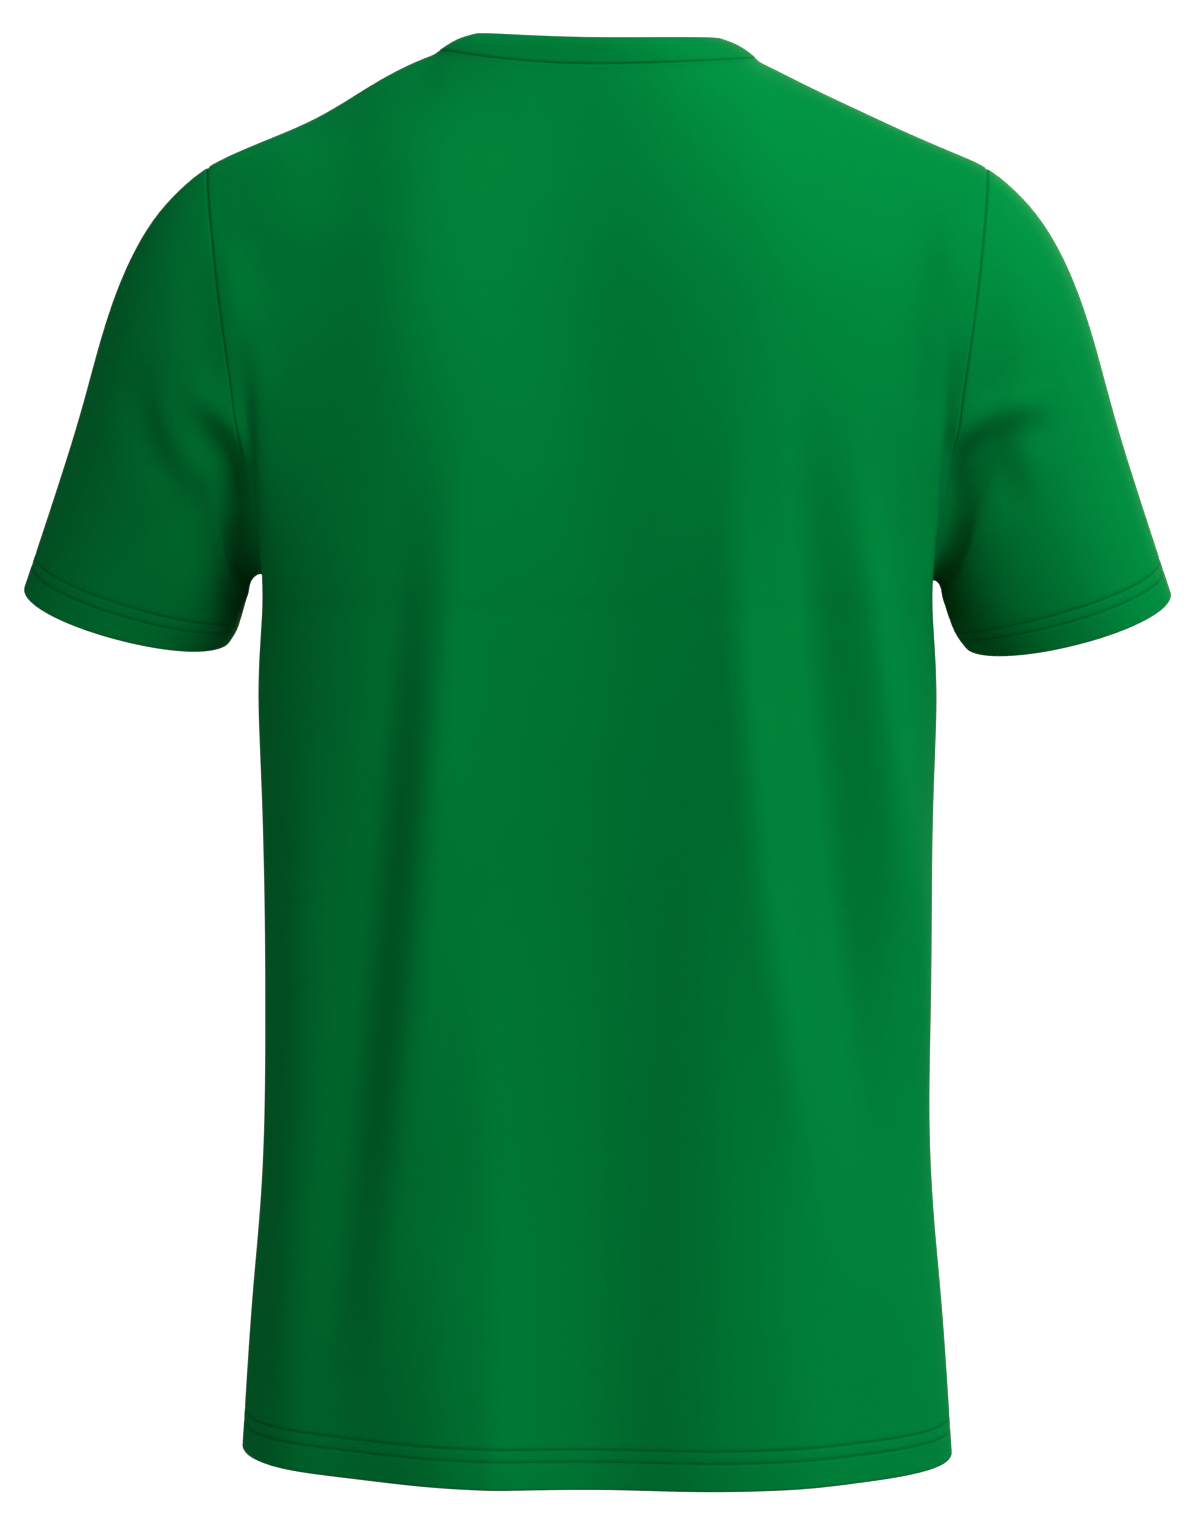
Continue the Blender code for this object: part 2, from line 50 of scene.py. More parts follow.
def hermite(start, startPull, end, endPull, t):
    return (
        (2 * t**3 - 3 * t**2 + 1) * start
        + (t**3 - 2 * t**2 + t) * startPull
        + (3 * t**2 - 2 * t**3) * end
        + (t**3 - t**2) * endPull
    )


def smoothStep(t):
    t = np.clip(t, 0.0, 1.0)
    return t * t * (3 - 2 * t)


def readTable(table, columns, name, at):
    # one column of a table, on a smooth curve along the table's first column
    place = np.array([row[0] for row in table])
    value = np.array([row[columns.index(name)] for row in table])
    if place[0] > place[-1]:
        place, value = place[::-1], value[::-1]
    slope = np.gradient(value, place)
    i = np.clip(np.searchsorted(place, at) - 1, 0, len(place) - 2)
    step = place[i + 1] - place[i]
    t = (at - place[i]) / step
    return hermite(value[i], slope[i] * step, value[i + 1], slope[i + 1] * step, t)


def squared(value, squareness):
    return math.copysign(abs(value) ** (2 / squareness), value)


# the back and front

shoulder = {
    "half": 0.2005,  # centre to the shoulder point
    "drop": 0.0558,  # neck point down to the shoulder point
    "sag": 0.0030,  # middle of the shoulder seam, below the straight line
    "level": 0.165,  # how firmly the cloth crosses the shoulder
    "up": 0.010,
}
neck = {
    "half": 0.0835,  # centre to a neck point
    "reach": {"back": 0.0670, "front": 0.0640},  # behind and before the neck points
    "drop": {"back": 0.0125, "front": 0.0880},  # below the neck points
    "roundness": 1.30,
    "level": 0.115,
    "up": 0.125,
    "lean": 0.018,  # the +X side of the neck sits lower
    "leanReach": 0.035,  # below the neck points, the lean fades over this
}
underarm = {
    "half": 0.1700,
    "height": -0.2720,
    "reach": 0.020,  # how far up and down the cloth is drawn in
    "spread": 0.20,
    "sag": 0.020,  # rows between the underarms hang lower
    "sagReach": 0.040,
    "sagSpread": 0.22,
}
armhole = {
    "middle": 0.0040,  # its middle lies a little forward
    "back": 0.0760,
    "front": 0.0650,
    "draw": 2,  # how steeply the cloth's pull toward the seam fades
    "underDraw": 4,  # more of it under the arm
    "underFall": 3,
}
bodyCut = {
    "hemHeight": -0.7175,
    "hemDip": {"back": 0.0055, "front": 0.0020},
    "rise": {"back": 0.42, "front": 0.27},  # how long it keeps its slope above the underarm
    "sideDraw": 6,  # how late the sides come forward to the armhole
    "cornerDraw": 4,
    "sideLean": 0.012,  # the +X side hangs lower
    "columns": ("height", "halfWidth", "back", "front", "squareness"),
    "sections": (
        (-0.205, 0.1755, 0.1220, 0.1265, 2.35),
        (-0.245, 0.1772, 0.1195, 0.1280, 2.35),
        (-0.300, 0.1768, 0.1140, 0.1280, 2.30),
        (-0.385, 0.1731, 0.1075, 0.1235, 2.30),
        (-0.480, 0.1712, 0.1040, 0.1180, 2.30),
        (-0.587, 0.1728, 0.1075, 0.1165, 2.25),
        (-0.640, 0.1776, 0.1110, 0.1185, 2.25),
        (-0.718, 0.1828, 0.1160, 0.1230, 2.25),
    ),
}
cage = {
    "shoulderColumns": 8,
    "neckColumns": 12,
    "panelColumns": 28,
    "armholeRows": 12,
    "bodyRows": 16,
    "sleeveRings": 10,
    "bandRows": 2,
    "evening": 4,
    "eveningReach": 2,  # faces away from the seam
    "edgeRounding": 12,
    "outlineSamples": 121,
    "slopeStep": 0.010,
    "weld": 0.0001,
    "levels": 2,  # of subdivision
}
pieceNames = ["back", "front", "sleeveLeft", "sleeveRight", "band"]
sleeveSide = {"sleeveLeft": -1, "sleeveRight": 1}


def sectionSize(name, height):
    return readTable(bodyCut["sections"], bodyCut["columns"], name, height)


def bodyPoint(piece, height, side):
    # side is -1 to 1 between the side seams, by length along the level section
    halfWidth = sectionSize("halfWidth", height)
    depth = sectionSize(piece, height)
    squareness = sectionSize("squareness", height)
    turns = np.linspace(0, math.pi / 2, cage["outlineSamples"])
    x = halfWidth * np.sin(turns) ** (2 / squareness)
    y = depth * np.clip(np.cos(turns), 0, 1) ** (2 / squareness)
    y[-1] = 0.0
    run = np.concatenate([[0], np.cumsum(np.hypot(np.diff(x), np.diff(y)))])
    out = np.interp(abs(side) * run[-1], run, x)
    away = np.interp(abs(side) * run[-1], run, y)
    pull = math.exp(-(((height - underarm["height"]) / underarm["reach"]) ** 2))
    widest = sectionSize("halfWidth", underarm["height"])
    near = smoothStep(1 - (1 - abs(side)) / underarm["spread"])
    out -= (widest - underarm["half"]) * pull * near
    facing = -1 if piece == "back" else 1
    forward = facing * away + armhole["middle"] * abs(side) ** bodyCut["sideDraw"]
    return np.array([math.copysign(out, side), forward, height])


def bodyRow(piece, height):
    low = smoothStep((underarm["height"] - height) / (underarm["height"] - bodyCut["hemHeight"]))
    near = math.exp(-(((height - underarm["height"]) / underarm["sagReach"]) ** 2))
    row = []
    for side in np.linspace(-1, 1, cage["panelColumns"] + 1):
        sag = underarm["sag"] * near * smoothStep((1 - abs(side)) / underarm["sagSpread"])
        dip = bodyCut["hemDip"][piece] * low * (1 - side**2)
        row.append(bodyPoint(piece, height - sag - dip, side))
    return np.array(row)


def neckPoint(piece, share):
    reach = neck["reach"][piece] * (-1 if piece == "back" else 1)
    across = math.sin(share * math.pi / 2)
    away = math.cos(share * math.pi / 2)
    drop = neck["drop"][piece] * away ** neck["roundness"]
    return np.array([neck["half"] * across, reach * away, -drop])


def topPoint(piece, column):
    # where a column ends, on a shoulder seam or on the neck seam
    out = column - cage["panelColumns"] // 2
    halfNeck = cage["neckColumns"] // 2
    if abs(out) <= halfNeck:
        return neckPoint(piece, out / halfNeck)
    share = (abs(out) - halfNeck) / cage["shoulderColumns"]
    x = neck["half"] + share * (shoulder["half"] - neck["half"])
    sag = shoulder["sag"] * math.sin(math.pi * share)
    z = -shoulder["drop"] * share - sag
    return np.array([math.copysign(x, out), armhole["middle"] * share, z])


def topPull(piece, column):
    out = min(1.0, abs(column - cage["panelColumns"] / 2) / (cage["neckColumns"] / 2))
    atNeck = math.cos(out * math.pi / 2) ** neck["roundness"]
    level = shoulder["level"] * (1 - atNeck) + neck["level"] * atNeck
    up = shoulder["up"] * (1 - atNeck) + neck["up"] * atNeck
    return np.array([0.0, level if piece == "back" else -level, up])


def upperRows(piece):
    # the rows above the underarm, up to the shoulders and neck
    last = cage["panelColumns"]
    base = bodyRow(piece, underarm["height"])
    upward = base - bodyRow(piece, underarm["height"] - cage["slopeStep"])
    startPull = bodyCut["rise"][piece] * upward / upward[:, 2:]
    edge = np.array([topPoint(piece, c) for c in range(last + 1)])
    endPull = np.array([topPull(piece, c) for c in range(last + 1)])
    rounded = edge.copy()
    for _ in range(cage["edgeRounding"]):
        beside = (rounded[:-2] + rounded[2:]) / 2
        rounded[1:-1] = (rounded[1:-1] + beside) / 2
    sides = np.linspace(-1, 1, last + 1)
    rows = []
    for share in np.arange(1, cage["armholeRows"] + 1) / cage["armholeRows"]:
        row = hermite(base, startPull, rounded, endPull, share)
        row += share ** bodyCut["cornerDraw"] * (edge - rounded)
        turn = math.pi * (1 - share)
        draw = armhole["draw"] + armhole["underDraw"] * (1 - share) ** armhole["underFall"]
        for sign, column in ((-1, 0), (1, last)):
            seam = sleevePoint(0.0, turn if piece == "back" else -turn) * np.array([sign, 1, 1])
            near = np.clip(sides * sign, 0, 1) ** draw
            row = row + near[:, None] * (seam - row[column])
        rows.append(row)
    return rows


def panelGrid(piece):
    heights = np.linspace(bodyCut["hemHeight"], underarm["height"], cage["bodyRows"] + 1)
    return np.array([bodyRow(piece, height) for height in heights] + upperRows(piece))


# the sleeves and the neckband

sleeve = {
    "squareness": 2.05,
    "columns": (  # top and under are the upper and lower edges seen from the back
        "share", "topX", "topZ", "underX", "underZ", "middleY", "back", "front", "lean",
    ),
    "sections": (
        (
            0.0, shoulder["half"], -shoulder["drop"], underarm["half"], underarm["height"],
            armhole["middle"], armhole["back"], armhole["front"], 0.00,
        ),
        (1 / 6, 0.2245, -0.0765, 0.1755, -0.2765, 0.0060, 0.0740, 0.0665, 0.02),
        (2 / 6, 0.2435, -0.1068, 0.1785, -0.2810, 0.0100, 0.0710, 0.0670, 0.06),
        (3 / 6, 0.2575, -0.1440, 0.1805, -0.2860, 0.0160, 0.0680, 0.0660, 0.10),
        (4 / 6, 0.2690, -0.1835, 0.1830, -0.2915, 0.0240, 0.0660, 0.0640, 0.15),
        (5 / 6, 0.2850, -0.2295, 0.1865, -0.2975, 0.0350, 0.0640, 0.0630, 0.20),
        (1.0, 0.3010, -0.2740, 0.1920, -0.3030, 0.0450, 0.0620, 0.0620, 0.24),
    ),
}
band = {
    "topHalf": 0.0645,  # centre to the folded edge beside the neck
    "bulge": 0.0016,
    "top": {"back": -0.0560, "front": 0.0545},
    "sideRise": 0.0095,  # folded edge above the neck points
    "rise": {"back": 0.0025, "front": -0.0725},  # and at the middle
}


def sleevePoint(share, turn):
    # share is 0 at the armhole and 1 at the cuff; turn grows from the top round the back
    size = {
        name: readTable(sleeve["sections"], sleeve["columns"], name, share)
        for name in sleeve["columns"][1:]
    }
    up = squared(math.cos(turn), sleeve["squareness"])
    back = squared(math.sin(turn), sleeve["squareness"])
    depth = size["back"] if back > 0 else size["front"]
    return np.array([
        (size["topX"] + size["underX"]) / 2 + up * (size["topX"] - size["underX"]) / 2,
        size["middleY"] - depth * back,
        (size["topZ"] + size["underZ"]) / 2
        + up * (size["topZ"] - size["underZ"]) / 2
        - size["lean"] * depth * back,
    ])


def sleeveGrid(side):
    # closed rings, from the cuff up to the armhole
    turns = math.pi * np.arange(2 * cage["armholeRows"]) / cage["armholeRows"]
    shares = np.linspace(1, 0, cage["sleeveRings"] + 1)
    return np.array([[sleevePoint(s, t) for t in turns] for s in shares]) * np.array([side, 1, 1])


def bandEdge(piece, share):
    across = math.sin(share * math.pi / 2)
    away = math.cos(share * math.pi / 2)
    rise = band["rise"][piece] - band["sideRise"]
    height = band["sideRise"] + rise * away ** neck["roundness"]
    return np.array([band["topHalf"] * across, band["top"][piece] * away, height])


def bandGrid():
    # closed rings, from the folded upper edge down to the neck seam
    shares = 2 * np.arange(cage["neckColumns"]) / cage["neckColumns"] - 1
    places = [("back", share) for share in shares] + [("front", -share) for share in shares]
    seam = np.array([neckPoint(*place) for place in places])
    edge = np.array([bandEdge(*place) for place in places])
    outward = (seam - edge) * np.array([1, 1, 0])
    outward /= np.linalg.norm(outward, axis=1)[:, None]
    bulge = (outward + np.array([0, 0, 1])) * band["bulge"]
    shares = np.linspace(0, 1, cage["bandRows"] + 1)
    return np.array([edge + (seam - edge) * s + 4 * s * (1 - s) * bulge for s in shares])


# one smooth surface for the whole shirt, folded


def addGrid(surface, piece, grid, closed, turned):
    mark = surface.faces.layers.int["piece"]
    place = surface.loops.layers.uv["place"]
    verts = [[surface.verts.new(point) for point in row] for row in grid]
    columns = len(grid[0])
    for r, (lower, upper) in enumerate(zip(verts, verts[1:])):
        for c in range(columns if closed else columns - 1):
            n = (c + 1) % columns
            corners = [(lower[c], c, r), (lower[n], c + 1, r)]
            corners += [(upper[n], c + 1, r + 1), (upper[c], c, r + 1)]
            if turned:
                corners.reverse()
            face = surface.faces.new([corner[0] for corner in corners])
            face.smooth = True
            face[mark] = pieceNames.index(piece)
            for loop, (_, across, along) in zip(face.loops, corners):
                loop[place].uv = (across, along)


def sewCage():
    surface = bmesh.new()
    surface.faces.layers.int.new("piece")
    surface.loops.layers.uv.new("place")
    onSleeve = surface.verts.layers.float.new("onSleeve")
    crease = surface.edges.layers.float.new("crease_edge")
    addGrid(surface, "back", panelGrid("back"), closed=False, turned=False)
    addGrid(surface, "front", panelGrid("front"), closed=False, turned=True)
    for piece, side in sleeveSide.items():
        addGrid(surface, piece, sleeveGrid(side), closed=True, turned=side > 0)
    addGrid(surface, "band", bandGrid(), closed=True, turned=True)
    bmesh.ops.remove_doubles(surface, verts=surface.verts, dist=cage["weld"])
    mark = surface.faces.layers.int["piece"]
    # the neck seam keeps its corner
    for edge in surface.edges:
        onBand = [face[mark] == pieceNames.index("band") for face in edge.link_faces]
        edge[crease] = 1.0 if any(onBand) and not all(onBand) else 0.0
    sleeves = [pieceNames.index(piece) for piece in sleeveSide]
    near = set()
    for vert in surface.verts:
        isSleeve = [face[mark] in sleeves for face in vert.link_faces]
        vert[onSleeve] = np.mean(isSleeve)
        if 0 < vert[onSleeve] < 1:
            near.add(vert)
    # the cloth beside the lower half of each armhole is evened out, and the seam is kept
    seam = set(near)
    middle = (underarm["height"] - shoulder["drop"]) / 2
    near = {vert for vert in near if vert.co.z < middle}
    for _ in range(cage["eveningReach"]):
        near |= {edge.other_vert(vert) for vert in near for edge in vert.link_edges}
    beside = [vert for vert in surface.verts if vert in near and vert not in seam]
    for _ in range(cage["evening"]):
        bmesh.ops.smooth_vert(
            surface, verts=beside, factor=0.5, use_axis_x=True, use_axis_y=True, use_axis_z=True,
        )
    return surface


def smoothMesh(surface):
    mesh = bpy.data.meshes.new("smoothCage")
    surface.to_mesh(mesh)
    surface.free()
    holder = bpy.data.objects.new("smoothCage", mesh)
    bpy.context.scene.collection.objects.link(holder)
    smoother = holder.modifiers.new("smooth", "SUBSURF")
    smoother.levels = smoother.render_levels = cage["levels"]
    smoother.uv_smooth = "NONE"
    smoother.boundary_smooth = "ALL"
    smoother.use_limit_surface = True
    done = bpy.data.meshes.new_from_object(
        holder.evaluated_get(bpy.context.evaluated_depsgraph_get())
    )
    bpy.data.objects.remove(holder)
    bpy.data.meshes.remove(mesh)
    return done


# A fold runs on a curve through three places (x, z) of the side that it faces. Width is the
# ridge's half width, a trough's height is negative, and an open end runs off the cloth's edge.
foldColumns = (
    "on", "facing", "startX", "startZ", "middleX", "middleZ", "endX", "endZ",
    "startWidth", "endWidth", "height", "openEnd",
)
mainFolds = (
    ("body", "back", -0.072, -0.180, -0.077, -0.440, -0.060, -0.722, 0.018, 0.044, 0.0120, 1),
    ("body", "back", 0.070, -0.170, 0.069, -0.440, 0.060, -0.722, 0.018, 0.046, 0.0125, 1),
    ("body", "back", 0.125, -0.200, 0.148, -0.380, 0.168, -0.560, 0.012, 0.017, 0.0045, 0),
    ("body", "back", -0.142, -0.330, -0.148, -0.500, -0.152, -0.722, 0.012, 0.022, 0.0050, 1),
    ("body", "back", -0.002, -0.050, -0.002, -0.340, 0.006, -0.740, 0.048, 0.050, -0.0120, 1),
    ("body", "back", -0.100, 0.050, -0.098, -0.110, -0.086, -0.270, 0.032, 0.032, 0.0060, 0),
    ("body", "back", 0.084, -0.040, 0.088, -0.160, 0.082, -0.280, 0.032, 0.032, 0.0045, 0),
    ("body", "front", -0.056, -0.250, -0.064, -0.470, -0.085, -0.722, 0.018, 0.042, 0.0095, 1),
    ("body", "front", 0.062, -0.230, 0.058, -0.470, 0.042, -0.722, 0.018, 0.040, 0.0105, 1),
    ("body", "front", 0.130, -0.330, 0.133, -0.520, 0.140, -0.722, 0.013, 0.026, 0.0065, 1),
    ("body", "front", -0.138, -0.300, -0.132, -0.420, -0.128, -0.560, 0.012, 0.018, 0.0045, 0),
    ("sleeve", "back", -0.237, -0.160, -0.223, -0.200, -0.199, -0.245, 0.012, 0.012, -0.0040, 0),
    ("sleeve", "back", 0.240, -0.190, 0.210, -0.196, 0.177, -0.212, 0.012, 0.012, -0.0045, 1),
    ("sleeve", "front", -0.233, -0.150, -0.215, -0.190, -0.196, -0.235, 0.013, 0.013, -0.0045, 0),
    ("sleeve", "front", 0.240, -0.175, 0.221, -0.205, 0.196, -0.232, 0.013, 0.013, -0.0040, 0),
)
fineFolds = (
    ("body", "back", -0.014, 0.110, -0.014, -0.090, -0.006, -0.360, 0.050, 0.050, -0.0100, 0),
    ("body", "back", 0.125, -0.060, 0.130, -0.150, 0.122, -0.260, 0.032, 0.030, 0.0050, 0),
    ("body", "back", -0.068, -0.180, -0.084, -0.440, -0.118, -0.760, 0.010, 0.013, 0.0045, 0),
    ("body", "back", -0.093, -0.185, -0.110, -0.440, -0.148, -0.760, 0.011, 0.013, -0.0050, 0),
    ("body", "back", 0.071, -0.160, 0.076, -0.400, 0.130, -0.690, 0.010, 0.014, 0.0040, 0),
    ("body", "back", 0.096, -0.150, 0.119, -0.380, 0.142, -0.640, 0.010, 0.014, -0.0070, 0),
    ("body", "back", 0.084, -0.400, 0.094, -0.560, 0.100, -0.725, 0.018, 0.024, 0.0050, 1),
    ("body", "back", 0.124, -0.170, 0.139, -0.330, 0.154, -0.480, 0.009, 0.010, 0.0035, 0),
    ("body", "back", -0.059, -0.430, -0.051, -0.570, -0.048, -0.725, 0.009, 0.011, 0.0030, 1),
    ("body", "back", -0.100, -0.560, -0.088, -0.650, -0.072, -0.725, 0.030, 0.036, 0.0045, 1),
    ("body", "back", -0.158, -0.030, -0.156, -0.080, -0.152, -0.130, 0.030, 0.030, 0.0045, 0),
    ("body", "back", -0.186, -0.095, -0.180, -0.140, -0.166, -0.205, 0.010, 0.010, 0.0035, 0),
    ("sleeve", "back", -0.186, -0.095, -0.180, -0.140, -0.166, -0.205, 0.010, 0.010, 0.0035, 0),
    ("body", "back", 0.182, -0.070, 0.177, -0.130, 0.170, -0.190, 0.014, 0.012, 0.0045, 0),
    ("sleeve", "back", 0.182, -0.070, 0.177, -0.130, 0.170, -0.190, 0.014, 0.012, 0.0045, 0),
    ("sleeve", "back", -0.211, -0.178, -0.195, -0.185, -0.174, -0.204, 0.010, 0.009, 0.0050, 1),
    ("sleeve", "back", -0.209, -0.194, -0.192, -0.207, -0.176, -0.228, 0.012, 0.013, -0.0070, 1),
    ("sleeve", "back", -0.214, -0.222, -0.198, -0.242, -0.180, -0.280, 0.021, 0.021, -0.0080, 1),
    ("sleeve", "back", 0.236, -0.182, 0.205, -0.187, 0.174, -0.202, 0.009, 0.009, 0.0065, 1),
    ("sleeve", "back", 0.220, -0.212, 0.200, -0.218, 0.176, -0.230, 0.018, 0.018, -0.0090, 1),
    ("sleeve", "back", -0.226, -0.169, -0.217, -0.198, -0.201, -0.233, 0.011, 0.010, 0.0040, 0),
    ("sleeve", "back", -0.183, -0.195, -0.178, -0.240, -0.173, -0.280, 0.009, 0.009, -0.0080, 0),
    ("sleeve", "back", 0.183, -0.195, 0.178, -0.240, 0.173, -0.280, 0.009, 0.009, -0.0080, 0),
    ("body", "front", -0.085, -0.200, -0.098, -0.440, -0.130, -0.740, 0.012, 0.015, -0.0055, 0),
    ("body", "front", 0.090, -0.190, 0.106, -0.420, 0.128, -0.700, 0.012, 0.015, -0.0060, 0),
    ("body", "front", -0.004, -0.260, -0.010, -0.520, -0.014, -0.740, 0.036, 0.040, -0.0080, 1),
    ("body", "front", 0.105, -0.150, 0.118, -0.300, 0.124, -0.460, 0.012, 0.014, 0.0040, 0),
    ("body", "front", -0.112, -0.140, -0.120, -0.260, -0.118, -0.380, 0.012, 0.012, 0.0035, 0),
    ("sleeve", "front", -0.216, -0.180, -0.196, -0.190, -0.176, -0.212, 0.010, 0.010, 0.0045, 1),
    ("sleeve", "front", -0.216, -0.205, -0.198, -0.220, -0.178, -0.246, 0.014, 0.014, -0.0060, 1),
    ("sleeve", "front", 0.226, -0.176, 0.202, -0.188, 0.176, -0.208, 0.010, 0.010, 0.0045, 1),
    ("sleeve", "front", 0.220, -0.205, 0.200, -0.216, 0.178, -0.236, 0.014, 0.014, -0.0060, 1),
    ("sleeve", "front", -0.183, -0.195, -0.178, -0.240, -0.173, -0.280, 0.009, 0.009, -0.0060, 0),
    ("sleeve", "front", 0.183, -0.195, 0.178, -0.240, 0.173, -0.280, 0.009, 0.009, -0.0060, 0),
)
fold = {
    "growth": 0.40,  # share of its length in which a fold rises to its height
    "openStart": 0.60,
    "turn": 1.2,  # how soon a fold fades where the cloth turns sideways
    "samples": 24,  # places read along the curve
    "neckClear": -0.015,  # fine folds are level above this height
    "neckFade": 0.045,
}


def foldLift(row, places):
    start = np.array([row["startX"], row["startZ"]])
    middle = np.array([row["middleX"], row["middleZ"]])
    end = np.array([row["endX"], row["endZ"]])
    handle = 2 * middle - (start + end) / 2
    t = np.linspace(0, 1, fold["samples"])[:, None]
    path = (1 - t) ** 2 * start + 2 * t * (1 - t) * handle + t**2 * end
    away = np.full(len(places), np.inf)
    along = np.zeros(len(places))
    for i, (a, b) in enumerate(zip(path, path[1:])):
        run = b - a
        s = np.clip((places - a) @ run / (run @ run), 0, 1)
        gap = np.linalg.norm(places - a - s[:, None] * run, axis=1)
        closer = gap < away
        away = np.where(closer, gap, away)
        along = np.where(closer, (i + s) / (fold["samples"] - 1), along)
    width = row["startWidth"] + along * (row["endWidth"] - row["startWidth"])
    openEnd = fold["openStart"] + (1 - fold["openStart"]) * along
    fading = openEnd if row["openEnd"] else smoothStep((1 - along) / fold["growth"])
    rise = smoothStep(along / fold["growth"]) * fading
    return row["height"] * rise * np.exp(-((away / width) ** 2))


def foldMesh(mesh):
    count = len(mesh.vertices)
    place = np.empty(count * 3)
    mesh.vertices.foreach_get("co", place)
    place = place.reshape(-1, 3)
    normal = np.array([vert.normal[:] for vert in mesh.vertices])
    onSleeve = np.empty(count)
    mesh.attributes["onSleeve"].data.foreach_get("value", onSleeve)
    push = np.zeros((count, 3))
    belowNeck = smoothStep((fold["neckClear"] - place[:, 2]) / fold["neckFade"])
    for values in mainFolds + fineFolds:
        row = dict(zip(foldColumns, values))
        toward = -1 if row["facing"] == "back" else 1
        facingIt = smoothStep(0.5 + fold["turn"] * toward * normal[:, 1])
        onIt = onSleeve if row["on"] == "sleeve" else 1 - onSleeve
        lift = foldLift(row, place[:, (0, 2)]) * facingIt * onIt
        push[:, :2] += normal[:, :2] * lift[:, None]
        push[:, 2] += normal[:, 2] * lift * (belowNeck if values in fineFolds else 1.0)
    place += push
    atNeck = smoothStep(1 + place[:, 2] / neck["leanReach"])
    place[:, 2] -= bodyCut["sideLean"] * place[:, 0] * place[:, 2] / bodyCut["hemHeight"]
    place[:, 2] -= neck["lean"] * place[:, 0] * atNeck
    mesh.vertices.foreach_set("co", place.ravel())
    mesh.update()
    return place, np.array([vert.normal[:] for vert in mesh.vertices])


def gridsOf(mesh):
    # each piece's points and normals as rows and columns
    place, normal = foldMesh(mesh)
    loops = len(mesh.loops)
    vertOf = np.empty(loops, dtype=np.int64)
    mesh.loops.foreach_get("vertex_index", vertOf)
    at = np.empty(loops * 2)
    mesh.uv_layers["place"].data.foreach_get("uv", at)
    at = np.rint(at.reshape(-1, 2) * 2 ** cage["levels"]).astype(int)
    mark = np.empty(len(mesh.polygons), dtype=np.int64)
    mesh.attributes["piece"].data.foreach_get("value", mark)
    mark = np.repeat(mark, 4)
    grids = {}
    for index, piece in enumerate(pieceNames):
        ours = mark == index
        column, row, vert = at[ours, 0], at[ours, 1], vertOf[ours]
        table = np.empty((row.max() + 1, column.max() + 1), dtype=np.int64)
        table[row, column] = vert
        grids[piece] = (place[table], normal[table])
    return grids


# each piece's own sheet: finer rows and columns near its edges, and a wall of cloth

sheetDetail = {
    "cloth": 0.0012,  # wall of one layer
    "hem": 0.0024,  # wall of a turned hem
    "band": 0.0022,
    "hemDepth": 0.020,
    "hemStep": 0.0008,
    "stitchRows": (0.0140, 0.0200),
    # rows of the mesh, by distance from the hem, a stitch row, the upper stitch row or a seam
    "edgeRows": (0.0, 0.00012, 0.0004, 0.0008, 0.0013, 0.0022, 0.0045, 0.0080, 0.0110),
    "bandEdgeRows": 6,  # so many of them on the neckband
    "besideStitch": (-0.0016, -0.0007, 0.0, 0.0007, 0.0016),
    "aboveHem": (0.0030, 0.0055),
    "seamRows": (0.0, 0.0004, 0.0008, 0.0013, 0.0021),
    "clearance": 0.4,  # least share of the usual spacing between a kept and a set row
    "seamDepth": 0.0006,
    "seamHalf": 0.0007,
    "stitchDepth": 0.00030,
    "stitchHalf": 0.0007,
    "sharpAngle": 60,
}


def readRows(values, places):
    # values on a smooth curve through whole places 0, 1, 2..., read at places, down the columns
    slope = np.gradient(values, axis=0)
    i = np.clip(np.floor(places).astype(int), 0, len(values) - 2)
    t = (places - i)[..., None]
    c = np.arange(values.shape[1])[None, :]
    return hermite(values[i, c], slope[i, c], values[i + 1, c], slope[i + 1, c], t)


def lengths(points):
    step = np.linalg.norm(np.diff(points, axis=0), axis=2)
    return np.concatenate([np.zeros((1, points.shape[1])), np.cumsum(step, axis=0)])


def refine(points, normals, fromStart, fromEnd, halve):
    # keeps the rows, adds one between each two if halve, and sets rows at fixed lengths from
    # the first and last row in place of those that lie nearer to them
    run = lengths(points)
    mean = run.mean(axis=1)
    whole = np.arange(len(points))
    rows = np.arange(0, len(points) - 0.5, 0.5 if halve else 1.0)
    clear = sheetDetail["clearance"] * mean[-1] / (len(rows) - 1)
    middle = np.interp(rows, whole, mean)
    keep = (middle > fromStart[-1] + clear) & (middle < mean[-1] - fromEnd[-1] - clear)
    # the kept rows share out what lies between the set ones, in each column
    left = np.interp(fromStart[-1], mean, whole)
    right = np.interp(mean[-1] - fromEnd[-1], mean, whole)
    places = []
    for c in range(points.shape[1]):
        low = np.interp(fromStart, run[:, c], whole)
        high = np.interp(run[-1, c] - np.array(fromEnd[::-1]), run[:, c], whole)
        between = low[-1] + (rows[keep] - left) * (high[0] - low[-1]) / (right - left)
        places.append(np.concatenate([low, between, high]))
    places = np.array(places).T
    finer = readRows(normals, places)
    return readRows(points, places), finer / np.linalg.norm(finer, axis=2)[..., None]


def acrossways(points, normals, fromStart, fromEnd):
    turned = refine(points.swapaxes(0, 1), normals.swapaxes(0, 1), fromStart, fromEnd, False)
    return turned[0].swapaxes(0, 1), turned[1].swapaxes(0, 1)


def dent(distance, half):
    return np.exp(-((distance / half) ** 2))


def rolled(distance, radius):
    # how far a rounded edge's face lies inside its wall
    inside = np.clip(radius - distance, 0, radius)
    return radius - np.sqrt(radius**2 - inside**2)


